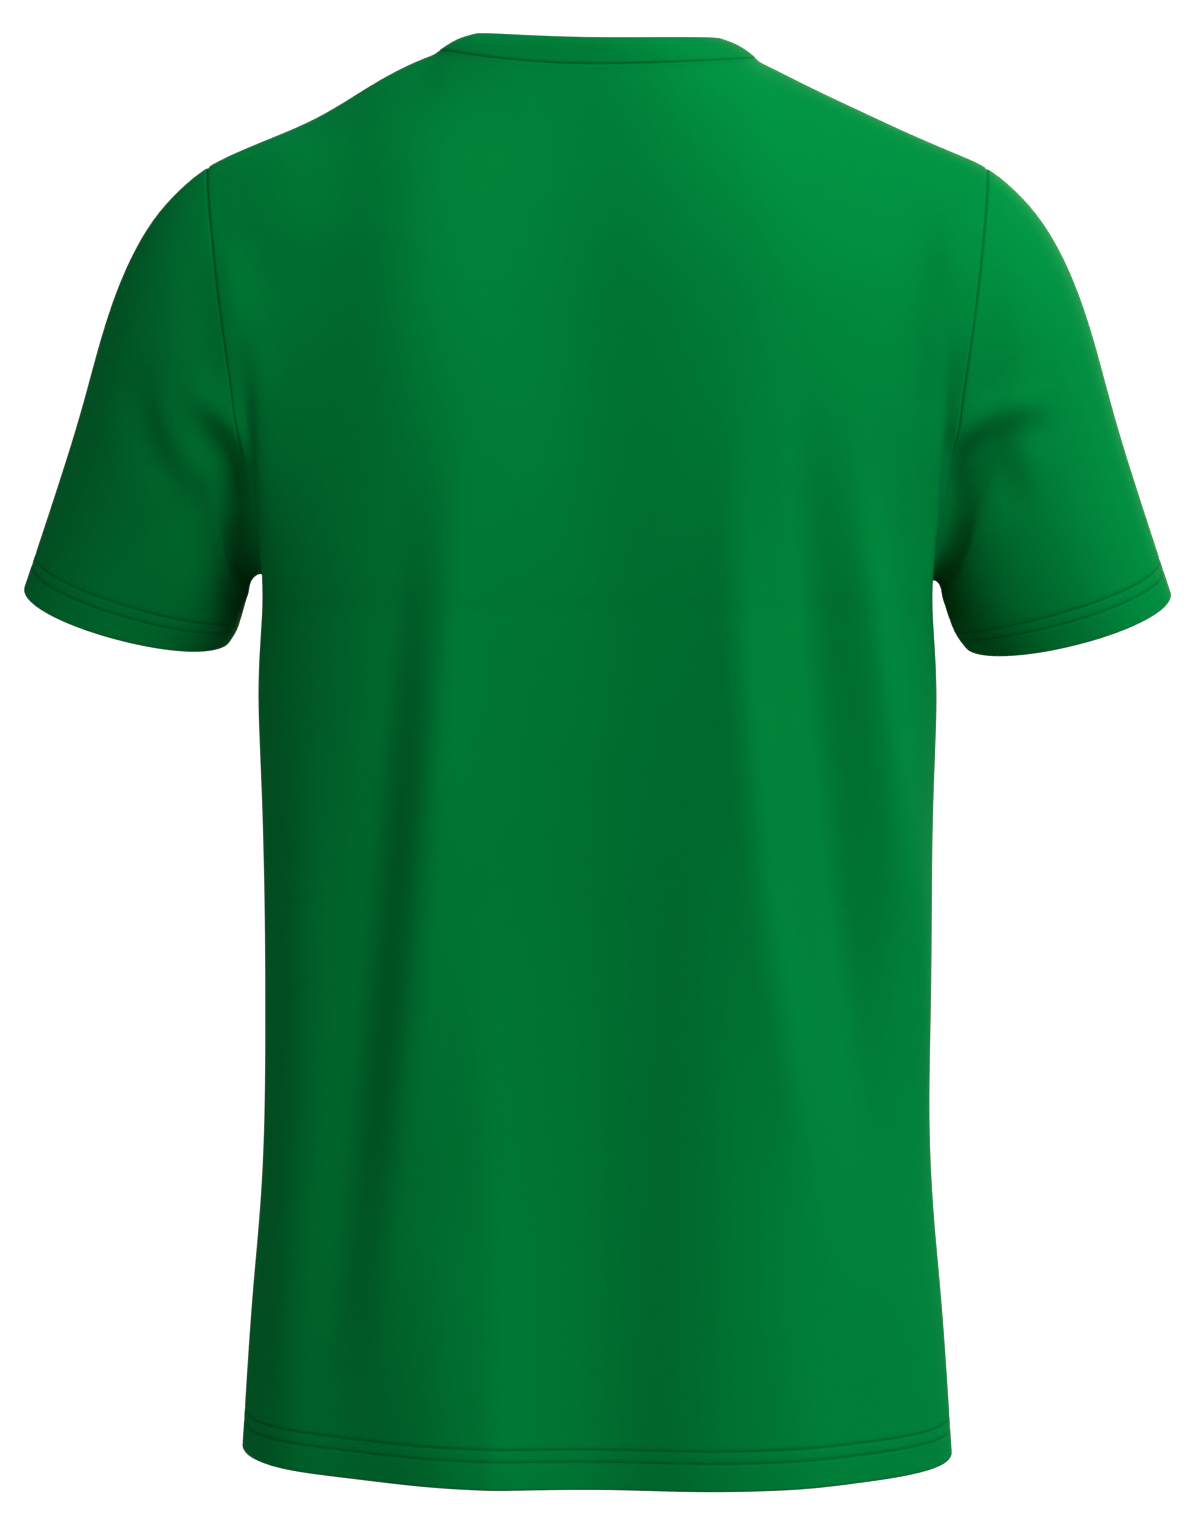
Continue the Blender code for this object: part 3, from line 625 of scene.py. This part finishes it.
def sheetRows(piece):
    # set rows from the hem, the cuff or the band's folded edge
    rows = list(sheetDetail["edgeRows"])
    if piece == "band":
        return rows[: sheetDetail["bandEdgeRows"]]
    for row in sheetDetail["stitchRows"]:
        rows += [row + beside for beside in sheetDetail["besideStitch"]]
    return rows + [sheetDetail["hemDepth"] + above for above in sheetDetail["aboveHem"]]


def makeSheet(name, piece, points, normals):
    detail = sheetDetail
    closed = piece in sleeveSide or piece == "band"
    points, normals = refine(points, normals, sheetRows(piece), detail["seamRows"], not closed)
    if not closed:
        points, normals = acrossways(points, normals, detail["seamRows"], detail["seamRows"])
    fromHem = lengths(points)
    fromSeam = fromHem[-1] - fromHem
    across = lengths(points.swapaxes(0, 1)).swapaxes(0, 1)
    wall = np.full(fromHem.shape, detail["band"])
    if not closed:
        fromSeam = np.minimum(fromSeam, np.minimum(across, across[:, -1:] - across))
    sink = detail["seamDepth"] * dent(fromSeam, detail["seamHalf"])
    if piece != "band":
        turnedUp = 1 - smoothStep((fromHem - detail["hemDepth"]) / detail["hemStep"])
        wall = detail["cloth"] + (detail["hem"] - detail["cloth"]) * turnedUp
        for row in detail["stitchRows"]:
            sink = sink + detail["stitchDepth"] * dent(fromHem - row, detail["stitchHalf"])
    roll = rolled(fromHem, wall / 2)
    outer = points - normals * (sink + roll)[..., None]
    inner = points - normals * (np.maximum(wall, sink + detail["cloth"] / 2) - roll)[..., None]
    sheet = shell(name, outer, inner, (across, fromHem, fromSeam), closed)
    return sheet, outer, normals, fromHem


def shell(name, outer, inner, sizes, closed):
    # a closed wall: outside, inside, and the rims at its seams; the first row is a rounded edge
    across, fromHem, fromSeam = sizes
    rows, columns = fromHem.shape
    width = columns - 1 if closed else columns
    outside = np.arange(rows * width).reshape(rows, width)
    inside = outside + rows * width
    inside[0] = outside[0]
    r = np.arange(rows - 1)[:, None, None] + np.array([0, 0, 1, 1])
    c = np.arange(columns - 1)[None, :, None] + np.array([0, 1, 1, 0])
    r, c = (grid.reshape(-1, 4) for grid in np.broadcast_arrays(r, c))
    uv = np.stack([across[r, c], fromHem[r, c]], axis=2)
    quads = [outside[r, c % width], inside[r, c % width][:, ::-1]]
    uvs = [uv, uv[:, ::-1]]
    rims = [[(rows - 1, k) for k in range(columns)]]
    if not closed:
        rims += [[(k, side) for k in range(rows)] for side in (0, width - 1)]
    for rim in rims:
        row, column = np.array(rim).T
        i, j = np.arange(len(rim) - 1), np.arange(1, len(rim))
        edge, back = outside[row, column % width], inside[row, column % width]
        quads.append(np.stack([edge[i], edge[j], back[j], back[i]], axis=1))
        here = np.stack([across[row, column], fromHem[row, column]], axis=1)
        beyond = here + sheetDetail["cloth"]
        uvs.append(np.stack([here[i], here[j], beyond[j], beyond[i]], axis=1))
    quads, uvs = np.concatenate(quads), np.concatenate(uvs)
    verts = np.concatenate([outer[:, :width].reshape(-1, 3), inner[:, :width].reshape(-1, 3)])
    used, quads = np.unique(quads, return_inverse=True)
    quads = quads.reshape(-1, 4)
    mesh = bpy.data.meshes.new(name)
    faces = [tuple(dict.fromkeys(quad)) for quad in quads.tolist()]
    kept = [len(face) > 2 for face in faces]
    mesh.from_pydata(verts[used].tolist(), [], [face for face, keep in zip(faces, kept) if keep])
    layer = mesh.uv_layers.new(name="cloth")
    flat = []
    for quad, face, corners, keep in zip(quads.tolist(), faces, uvs.tolist(), kept):
        if keep:
            flat += [corners[quad.index(vert)] for vert in face]
    layer.uv.foreach_set("vector", np.array(flat).ravel())
    for label, values in (("fromHem", fromHem), ("fromSeam", fromSeam)):
        both = np.concatenate([values[:, :width].ravel()] * 2)[used]
        mesh.attributes.new(label, "FLOAT", "POINT").data.foreach_set("value", both)
    work = bmesh.new()
    work.from_mesh(mesh)
    bmesh.ops.recalc_face_normals(work, faces=work.faces)
    work.to_mesh(mesh)
    work.free()
    mesh.shade_smooth()
    mesh.set_sharp_from_angle(angle=math.radians(sheetDetail["sharpAngle"]))
    sheet = bpy.data.objects.new(name, mesh)
    bpy.context.scene.collection.objects.link(sheet)
    return sheet


# stitches

stitch = {
    "pitch": 0.0030,  # from one stitch to the next
    "length": 0.0023,
    "halfWidth": 0.00022,
    "sides": 6,
    "rings": 4,
}


def stitchRow(verts, faces, points, normals):
    # small rounded stitches end to end along one row of a sheet
    run = np.concatenate([[0], np.cumsum(np.linalg.norm(np.diff(points, axis=0), axis=1))])
    count = int(run[-1] / stitch["pitch"])
    turns = np.arange(stitch["sides"]) * 2 * math.pi / stitch["sides"]
    lengthwise = np.linspace(-1, 1, stitch["rings"] + 2)[1:-1]
    for k in range(count):
        middle = (k + 0.5) * run[-1] / count
        ends = [middle - stitch["length"] / 2, middle + stitch["length"] / 2]
        a, b = (np.array([np.interp(e, run, points[:, i]) for i in range(3)]) for e in ends)
        up = np.array([np.interp(middle, run, normals[:, i]) for i in range(3)])
        side = np.cross(b - a, up)
        side /= np.linalg.norm(side)
        first = len(verts)
        verts.append(a)
        for s in lengthwise:
            ring = stitch["halfWidth"] * math.sqrt(1 - s**4)
            centre = (a + b) / 2 + s * (b - a) / 2
            for turn in turns:
                verts.append(centre + ring * (math.cos(turn) * side + math.sin(turn) * up))
        verts.append(b)
        n = stitch["sides"]
        for j in range(n):
            m = (j + 1) % n
            faces.append((first, first + 1 + m, first + 1 + j))
            for ring in range(stitch["rings"] - 1):
                low = first + 1 + ring * n
                faces.append((low + j, low + m, low + n + m, low + n + j))
            top = first + 1 + (stitch["rings"] - 1) * n
            faces.append((top + j, top + m, top + n))


def makeStitches(name, sheets):
    verts, faces = [], []
    for _, outer, normals, fromHem in sheets:
        for distance in sheetDetail["stitchRows"]:
            row = int(np.argmin(abs(fromHem.mean(axis=1) - distance)))
            stitchRow(verts, faces, outer[row], normals[row])
    mesh = bpy.data.meshes.new(name)
    mesh.from_pydata(verts, [], faces)
    mesh.shade_smooth()
    stitches = bpy.data.objects.new(name, mesh)
    bpy.context.scene.collection.objects.link(stitches)
    return stitches


# materials: shared effects are node groups


def newGroup(name, inputs, outputs):
    group = bpy.data.node_groups.new(name, "ShaderNodeTree")
    for label, kind, value in inputs:
        socket = group.interface.new_socket(name=label, in_out="INPUT", socket_type=kind)
        if value is not None:
            socket.default_value = value
    for label, kind in outputs:
        group.interface.new_socket(name=label, in_out="OUTPUT", socket_type=kind)
    return group, group.nodes.new("NodeGroupInput"), group.nodes.new("NodeGroupOutput")


def addNode(tree, kind, settings, inputs):
    # inputs holds a value or a link for each input's name or number
    node = tree.nodes.new(kind)
    for key, value in settings.items():
        setattr(node, key, value)
    for key, value in inputs.items():
        if isinstance(value, bpy.types.NodeSocket):
            tree.links.new(value, node.inputs[key])
        else:
            node.inputs[key].default_value = value
    return node


def maths(tree, operation, *values):
    node = addNode(tree, "ShaderNodeMath", {"operation": operation}, dict(enumerate(values)))
    return node.outputs[0]


def addNoise(tree, place, scale, detail, flat=True):
    settings = {"noise_dimensions": "2D" if flat else "3D"}
    inputs = {"Vector": place, "Scale": scale, "Detail": detail}
    return addNode(tree, "ShaderNodeTexNoise", settings, inputs)


def centred(tree, value, amount):
    # a value of 0 to 1, moved to lie round 0 and scaled
    return maths(tree, "MULTIPLY", maths(tree, "SUBTRACT", value, 0.5), amount)


knit = {
    "waleWidth": 0.0008,
    "courseHeight": 0.0006,
    "unevenness": 0.3,
    "depth": 0.00010,
    "wanderScale": 420.0,
    "wanderDetail": 2.0,
    "slant": 1.3,  # courses that a stitch's leg climbs
    "loopShare": 0.35,  # how much of the height comes from single stitches
    "fibreScale": 2600.0,
    "fibreDetail": 3.0,
    "fibreHeight": 0.5,
}


def makeKnitGroup():
    # the face of a fine jersey: columns of small V stitches, a little uneven
    group, given, made = newGroup(
        "fineKnit",
        [
            ("Cloth", "NodeSocketVector", None),
            ("Wale Width", "NodeSocketFloat", knit["waleWidth"]),
            ("Course Height", "NodeSocketFloat", knit["courseHeight"]),
            ("Unevenness", "NodeSocketFloat", knit["unevenness"]),
        ],
        [("Height", "NodeSocketFloat"), ("Fibre", "NodeSocketFloat")],
    )
    place, wale, course, uneven = given.outputs[:4]
    wander = addNoise(group, place, knit["wanderScale"], knit["wanderDetail"])
    shift = centred(group, wander.outputs[0], uneven)
    parts = addNode(group, "ShaderNodeSeparateXYZ", {}, {"Vector": place})
    across = maths(group, "ADD", maths(group, "DIVIDE", parts.outputs[0], wale), shift)
    upward = maths(group, "ADD", maths(group, "DIVIDE", parts.outputs[1], course), shift)
    # from -0.5 to 0.5 across one wale, and its distance from the wale's middle
    inWale = maths(group, "SUBTRACT", maths(group, "FRACT", across), 0.5)
    away = maths(group, "ABSOLUTE", inWale)
    leg = maths(group, "SINE", maths(group, "MULTIPLY", away, 2 * math.pi))
    slanted = maths(group, "ADD", upward, maths(group, "MULTIPLY", away, knit["slant"]))
    loop = maths(group, "SINE", maths(group, "MULTIPLY", slanted, 2 * math.pi))
    loopPart = maths(group, "MULTIPLY", loop, knit["loopShare"])
    rounded = maths(group, "ADD", loopPart, 1 - knit["loopShare"])
    height = maths(group, "MULTIPLY", leg, rounded)
    fibres = addNoise(group, place, knit["fibreScale"], knit["fibreDetail"])
    raised = maths(group, "MULTIPLY", fibres.outputs[0], knit["fibreHeight"])
    group.links.new(maths(group, "ADD", height, raised), made.inputs["Height"])
    group.links.new(fibres.outputs[0], made.inputs["Fibre"])
    return group


# how much the painted shade darkens the colour along the seams and the stitch rows, and the half
# widths of these painted lines
line = {"seamShade": 0.40, "stitchShade": 0.35, "seamHalf": 0.0007, "stitchHalf": 0.0006}


def makeLineGroup():
    # a soft line, 1 where a distance is equal to a place and fading over the half width
    group, given, made = newGroup(
        "stitchLine",
        [
            ("Distance", "NodeSocketFloat", 0.0),
            ("Place", "NodeSocketFloat", 0.0),
            ("Half Width", "NodeSocketFloat", line["stitchHalf"]),
        ],
        [("Line", "NodeSocketFloat")],
    )
    distance, place, half = given.outputs[:3]
    away = maths(group, "ABSOLUTE", maths(group, "SUBTRACT", distance, place))
    share = maths(group, "POWER", maths(group, "DIVIDE", away, half), 2.0)
    faded = maths(group, "EXPONENT", maths(group, "MULTIPLY", share, -1.0))
    group.links.new(faded, made.inputs["Line"])
    return group


dye = {
    "green": (0.0, 0.205, 0.0375, 1.0),
    "cloudAmount": 0.06,
    "cloudScale": 9.0,
    "cloudDetail": 3.0,
    "cloudRoughness": 0.6,
    "fleckAmount": 0.10,
    "roughness": 0.80,
    "fleckRoughness": 0.12,
}


def makeDyeAndShadeGroup():
    # dyed cloth: soft clouds of depth and fine flecks, and painted shade that darkens the colour
    # in the seams and stitch rows
    group, given, made = newGroup(
        "dyedClothAndPaintedShade",
        [
            ("Colour", "NodeSocketColor", dye["green"]),
            ("Place", "NodeSocketVector", None),
            ("Cloud Amount", "NodeSocketFloat", dye["cloudAmount"]),
            ("Fleck", "NodeSocketFloat", 0.5),
            ("Fleck Amount", "NodeSocketFloat", dye["fleckAmount"]),
            ("Painted Shade", "NodeSocketFloat", 0.0),
        ],
        [("Colour", "NodeSocketColor"), ("Roughness", "NodeSocketFloat")],
    )
    colour, place, cloudAmount, fleck, fleckAmount, paintedShade = given.outputs[:6]
    cloud = addNoise(group, place, dye["cloudScale"], dye["cloudDetail"], flat=False)
    cloud.inputs["Roughness"].default_value = dye["cloudRoughness"]
    drift = centred(group, cloud.outputs[0], cloudAmount)
    speck = centred(group, fleck, fleckAmount)
    value = maths(group, "ADD", 1.0, maths(group, "ADD", drift, speck))
    # painted shade: the colour is darker where the shade mask is
    value = maths(group, "MULTIPLY", value, maths(group, "SUBTRACT", 1.0, paintedShade))
    tint = addNode(group, "ShaderNodeHueSaturation", {}, {"Value": value, "Color": colour})
    spread = maths(group, "MULTIPLY", fleck, dye["fleckRoughness"])
    group.links.new(tint.outputs[0], made.inputs["Colour"])
    group.links.new(maths(group, "ADD", dye["roughness"], spread), made.inputs["Roughness"])
    return group


finish = {
    "specular": 0.01,
    "specularTint": (0.0, 0.9, 0.4, 1.0),
    "sheen": 0.10,
    "sheenTint": (0.0, 0.80, 0.30, 1.0),
    "sheenRoughness": 0.45,
}


def newMaterial(name):
    material = bpy.data.materials.new(name)
    material.use_nodes = True
    shader = material.node_tree.nodes["Principled BSDF"]
    shader.inputs["Metallic"].default_value = 0.0
    shader.inputs["Specular IOR Level"].default_value = finish["specular"]
    shader.inputs["Specular Tint"].default_value = finish["specularTint"]
    shader.inputs["Sheen Weight"].default_value = finish["sheen"]
    shader.inputs["Sheen Roughness"].default_value = finish["sheenRoughness"]
    shader.inputs["Sheen Tint"].default_value = finish["sheenTint"]
    return material, material.node_tree, shader


def feed(tree, shader, colour, roughness, height, depth):
    bump = addNode(tree, "ShaderNodeBump", {}, {"Distance": depth, "Height": height})
    tree.links.new(colour, shader.inputs["Base Color"])
    tree.links.new(roughness, shader.inputs["Roughness"])
    tree.links.new(bump.outputs["Normal"], shader.inputs["Normal"])


def knitMaterial(name, groups, stitched):
    material, tree, shader = newMaterial(name)

    def addGroup(key, inputs):
        return addNode(tree, "ShaderNodeGroup", {"node_tree": groups[key]}, inputs)

    # a thin line of painted shade: the line's mask times its darkness
    def shadedLine(distance, at, half, paintedShade):
        inputs = {"Distance": distance, "Place": at, "Half Width": half}
        return maths(tree, "MULTIPLY", addGroup("line", inputs).outputs[0], paintedShade)

    uv = addNode(tree, "ShaderNodeUVMap", {"uv_map": "cloth"}, {})
    place = addNode(tree, "ShaderNodeTexCoord", {}, {})
    # painted shade: the colour is darkened in a thin line along each seam, and on the hemmed
    # pieces along each stitch row, where these grooves lie in shadow
    fromSeam = addNode(tree, "ShaderNodeAttribute", {"attribute_name": "fromSeam"}, {})
    paintedShade = shadedLine(fromSeam.outputs["Fac"], 0.0, line["seamHalf"], line["seamShade"])
    if stitched:
        fromHem = addNode(tree, "ShaderNodeAttribute", {"attribute_name": "fromHem"}, {})
        for row in sheetDetail["stitchRows"]:
            stitches = shadedLine(
                fromHem.outputs["Fac"], row, line["stitchHalf"], line["stitchShade"],
            )
            paintedShade = maths(tree, "MAXIMUM", paintedShade, stitches)
    face = addGroup("knit", {
        "Cloth": uv.outputs[0],
        "Wale Width": knit["waleWidth"],
        "Course Height": knit["courseHeight"],
        "Unevenness": knit["unevenness"],
    })
    # the dye's colour and roughness, with the painted shade of the seams and stitch rows
    dyedAndShaded = addGroup("dye", {
        "Colour": dye["green"],
        "Place": place.outputs["Object"],
        "Cloud Amount": dye["cloudAmount"],
        "Fleck": face.outputs["Fibre"],
        "Fleck Amount": dye["fleckAmount"],
        "Painted Shade": paintedShade,
    })
    height = face.outputs["Height"]
    feed(tree, shader, dyedAndShaded.outputs["Colour"], dyedAndShaded.outputs["Roughness"], height, knit["depth"])
    return material


thread = {
    "colour": (0.0004, 0.125, 0.030, 1.0),
    "twistScale": 1500.0,
    "twistDetail": 2.0,
    "tone": 0.75,
    "toneSpread": 0.5,
    "roughness": 0.5,
    "roughnessSpread": 0.2,
    "depth": 0.0001,
}


def threadMaterial():
    # twisted polyester thread, a little glossier than the cloth
    material, tree, shader = newMaterial("stitchThread")
    place = addNode(tree, "ShaderNodeTexCoord", {}, {}).outputs["Object"]
    twist = addNoise(tree, place, thread["twistScale"], thread["twistDetail"], flat=False)
    twist = twist.outputs[0]
    tone = maths(tree, "ADD", thread["tone"], maths(tree, "MULTIPLY", twist, thread["toneSpread"]))
    inputs = {"Value": tone, "Color": thread["colour"]}
    tint = addNode(tree, "ShaderNodeHueSaturation", {}, inputs)
    spread = maths(tree, "MULTIPLY", twist, thread["roughnessSpread"])
    rough = maths(tree, "ADD", thread["roughness"], spread)
    feed(tree, shader, tint.outputs[0], rough, twist, thread["depth"])
    return material


# the studio

studio = {
    "aim": (0.0, 0.0, -0.36),
    "lights": (
        # name, place, disc's size, watts
        ("keyLight", (1.30, -2.12, 0.94), 1.6, 55.5),
        ("sideLight", (1.88, -0.05, 1.68), 1.6, 51.0),
        ("fillLight", (-1.60, -2.05, 0.20), 1.6, 5.5),
        ("frontLight", (0.8, 2.45, 0.6), 1.4, 55.0),
    ),
    "ambient": 0.29,
    "white": (1.0, 1.0, 1.0, 1.0),
}
floorSweep = {
    "height": -1.45,
    "innerRadius": 3.5,
    "radius": 7.0,
    "bend": 2.0,
    "bendSteps": 12,
    "wallHeight": 6.0,
    "sides": 96,
    "paper": (0.90, 0.90, 0.90, 1.0),
    "roughness": 0.9,
    "specular": 0.1,
    "glow": 1.0,
}
cameraView = {
    "distance": 2.6,
    "x": 0.0013,
    "height": -0.3618,
    "focalPixels": 5048.5,
    "longSide": 1515,
}


def addLight(name, place, size, power):
    light = bpy.data.lights.new(name, "AREA")
    light.shape = "DISK"
    light.size = size
    light.energy = power
    lamp = bpy.data.objects.new(name, light)
    lamp.location = place
    lamp.rotation_mode = "QUATERNION"
    aim = Vector(studio["aim"]) - Vector(place)
    lamp.rotation_quaternion = aim.to_track_quat("-Z", "Y")
    bpy.context.scene.collection.objects.link(lamp)


def addSweep():
    # a round pale floor that curves up into a wall all round
    bend, sides = floorSweep["bend"], floorSweep["sides"]
    profile = [(floorSweep["innerRadius"], 0.0)]
    for turn in np.linspace(0, math.pi / 2, floorSweep["bendSteps"] + 1):
        out = floorSweep["radius"] + bend * math.sin(turn)
        profile.append((out, bend * (1 - math.cos(turn))))
    profile.append((profile[-1][0], floorSweep["wallHeight"]))
    verts = [(0.0, 0.0, floorSweep["height"])]
    for radius, height in profile:
        for turn in np.arange(sides) * 2 * math.pi / sides:
            x, y = radius * math.cos(turn), radius * math.sin(turn)
            verts.append((x, y, floorSweep["height"] + height))
    faces = []
    for k in range(sides):
        n = (k + 1) % sides
        faces.append((0, 1 + k, 1 + n))
        for ring in range(len(profile) - 1):
            low = 1 + ring * sides
            faces.append((low + k, low + sides + k, low + sides + n, low + n))
    mesh = bpy.data.meshes.new("paleFloor")
    mesh.from_pydata(verts, [], faces)
    mesh.shade_smooth()
    material = bpy.data.materials.new("palePaper")
    material.use_nodes = True
    shader = material.node_tree.nodes["Principled BSDF"]
    shader.inputs["Base Color"].default_value = floorSweep["paper"]
    shader.inputs["Roughness"].default_value = floorSweep["roughness"]
    shader.inputs["Specular IOR Level"].default_value = floorSweep["specular"]
    shader.inputs["Emission Color"].default_value = studio["white"]
    shader.inputs["Emission Strength"].default_value = floorSweep["glow"]
    mesh.materials.append(material)
    floor = bpy.data.objects.new("paleFloor", mesh)
    bpy.context.scene.collection.objects.link(floor)
    floor.visible_diffuse = False
    floor.visible_glossy = False


def addCamera():
    camera = bpy.data.cameras.new("camera")
    camera.lens = cameraView["focalPixels"] / cameraView["longSide"] * camera.sensor_width
    holder = bpy.data.objects.new("camera", camera)
    holder.location = (cameraView["x"], -cameraView["distance"], cameraView["height"])
    holder.rotation_euler = (math.pi / 2, 0, 0)
    bpy.context.scene.collection.objects.link(holder)
    bpy.context.scene.camera = holder


def addStudio():
    addCamera()
    for lamp in studio["lights"]:
        addLight(*lamp)
    addSweep()
    world = bpy.data.worlds.new("studio")
    world.use_nodes = True
    background = world.node_tree.nodes["Background"]
    background.inputs["Color"].default_value = studio["white"]
    background.inputs["Strength"].default_value = studio["ambient"]
    bpy.context.scene.world = world
    bpy.context.scene.view_settings.view_transform = "Standard"


# the pieces: name, part of the surface, CAD node, slot, and its flat cut's width, length, area

pieceTable = (
    ("back_cloth", "back", "back_panel", "shirt_knit", 0.515, 0.745, 0.345),
    ("front_cloth", "front", "front_panel", "shirt_knit", 0.515, 0.745, 0.335),
    ("left_sleeve_cloth", "sleeveLeft", "sleeve_left", "shirt_knit", 0.440, 0.250, 0.078),
    ("right_sleeve_cloth", "sleeveRight", "sleeve_right", "shirt_knit", 0.440, 0.250, 0.078),
    ("neckband_cloth", "band", "neckband", "neckband_knit", 0.490, 0.020, 0.0097),
)
stitchTable = (
    ("hem_stitches", ("back", "front")),
    ("left_cuff_stitches", ("sleeveLeft",)),
    ("right_cuff_stitches", ("sleeveRight",)),
)


def main():
    addStudio()
    print("building the smooth surface")
    grids = gridsOf(smoothMesh(sewCage()))
    groups = {"knit": makeKnitGroup(), "line": makeLineGroup(), "dye": makeDyeAndShadeGroup()}
    jersey = knitMaterial("greenJersey", groups, stitched=True)
    bandKnit = knitMaterial("greenNeckband", groups, stitched=False)
    sheets = {}
    for name, piece, node, slot, *_ in pieceTable:
        print("sewing", name)
        sheets[piece] = makeSheet(name, piece, *grids[piece])
        sheet = sheets[piece][0]
        sheet.data.materials.append(bandKnit if piece == "band" else jersey)
        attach(sheet, "root")
        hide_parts(node)
    print("stitching the hems")
    threadLook = threadMaterial()
    for name, pieces in stitchTable:
        stitches = makeStitches(name, [sheets[piece] for piece in pieces])
        stitches.data.materials.append(threadLook)
        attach(stitches, "root")


main()
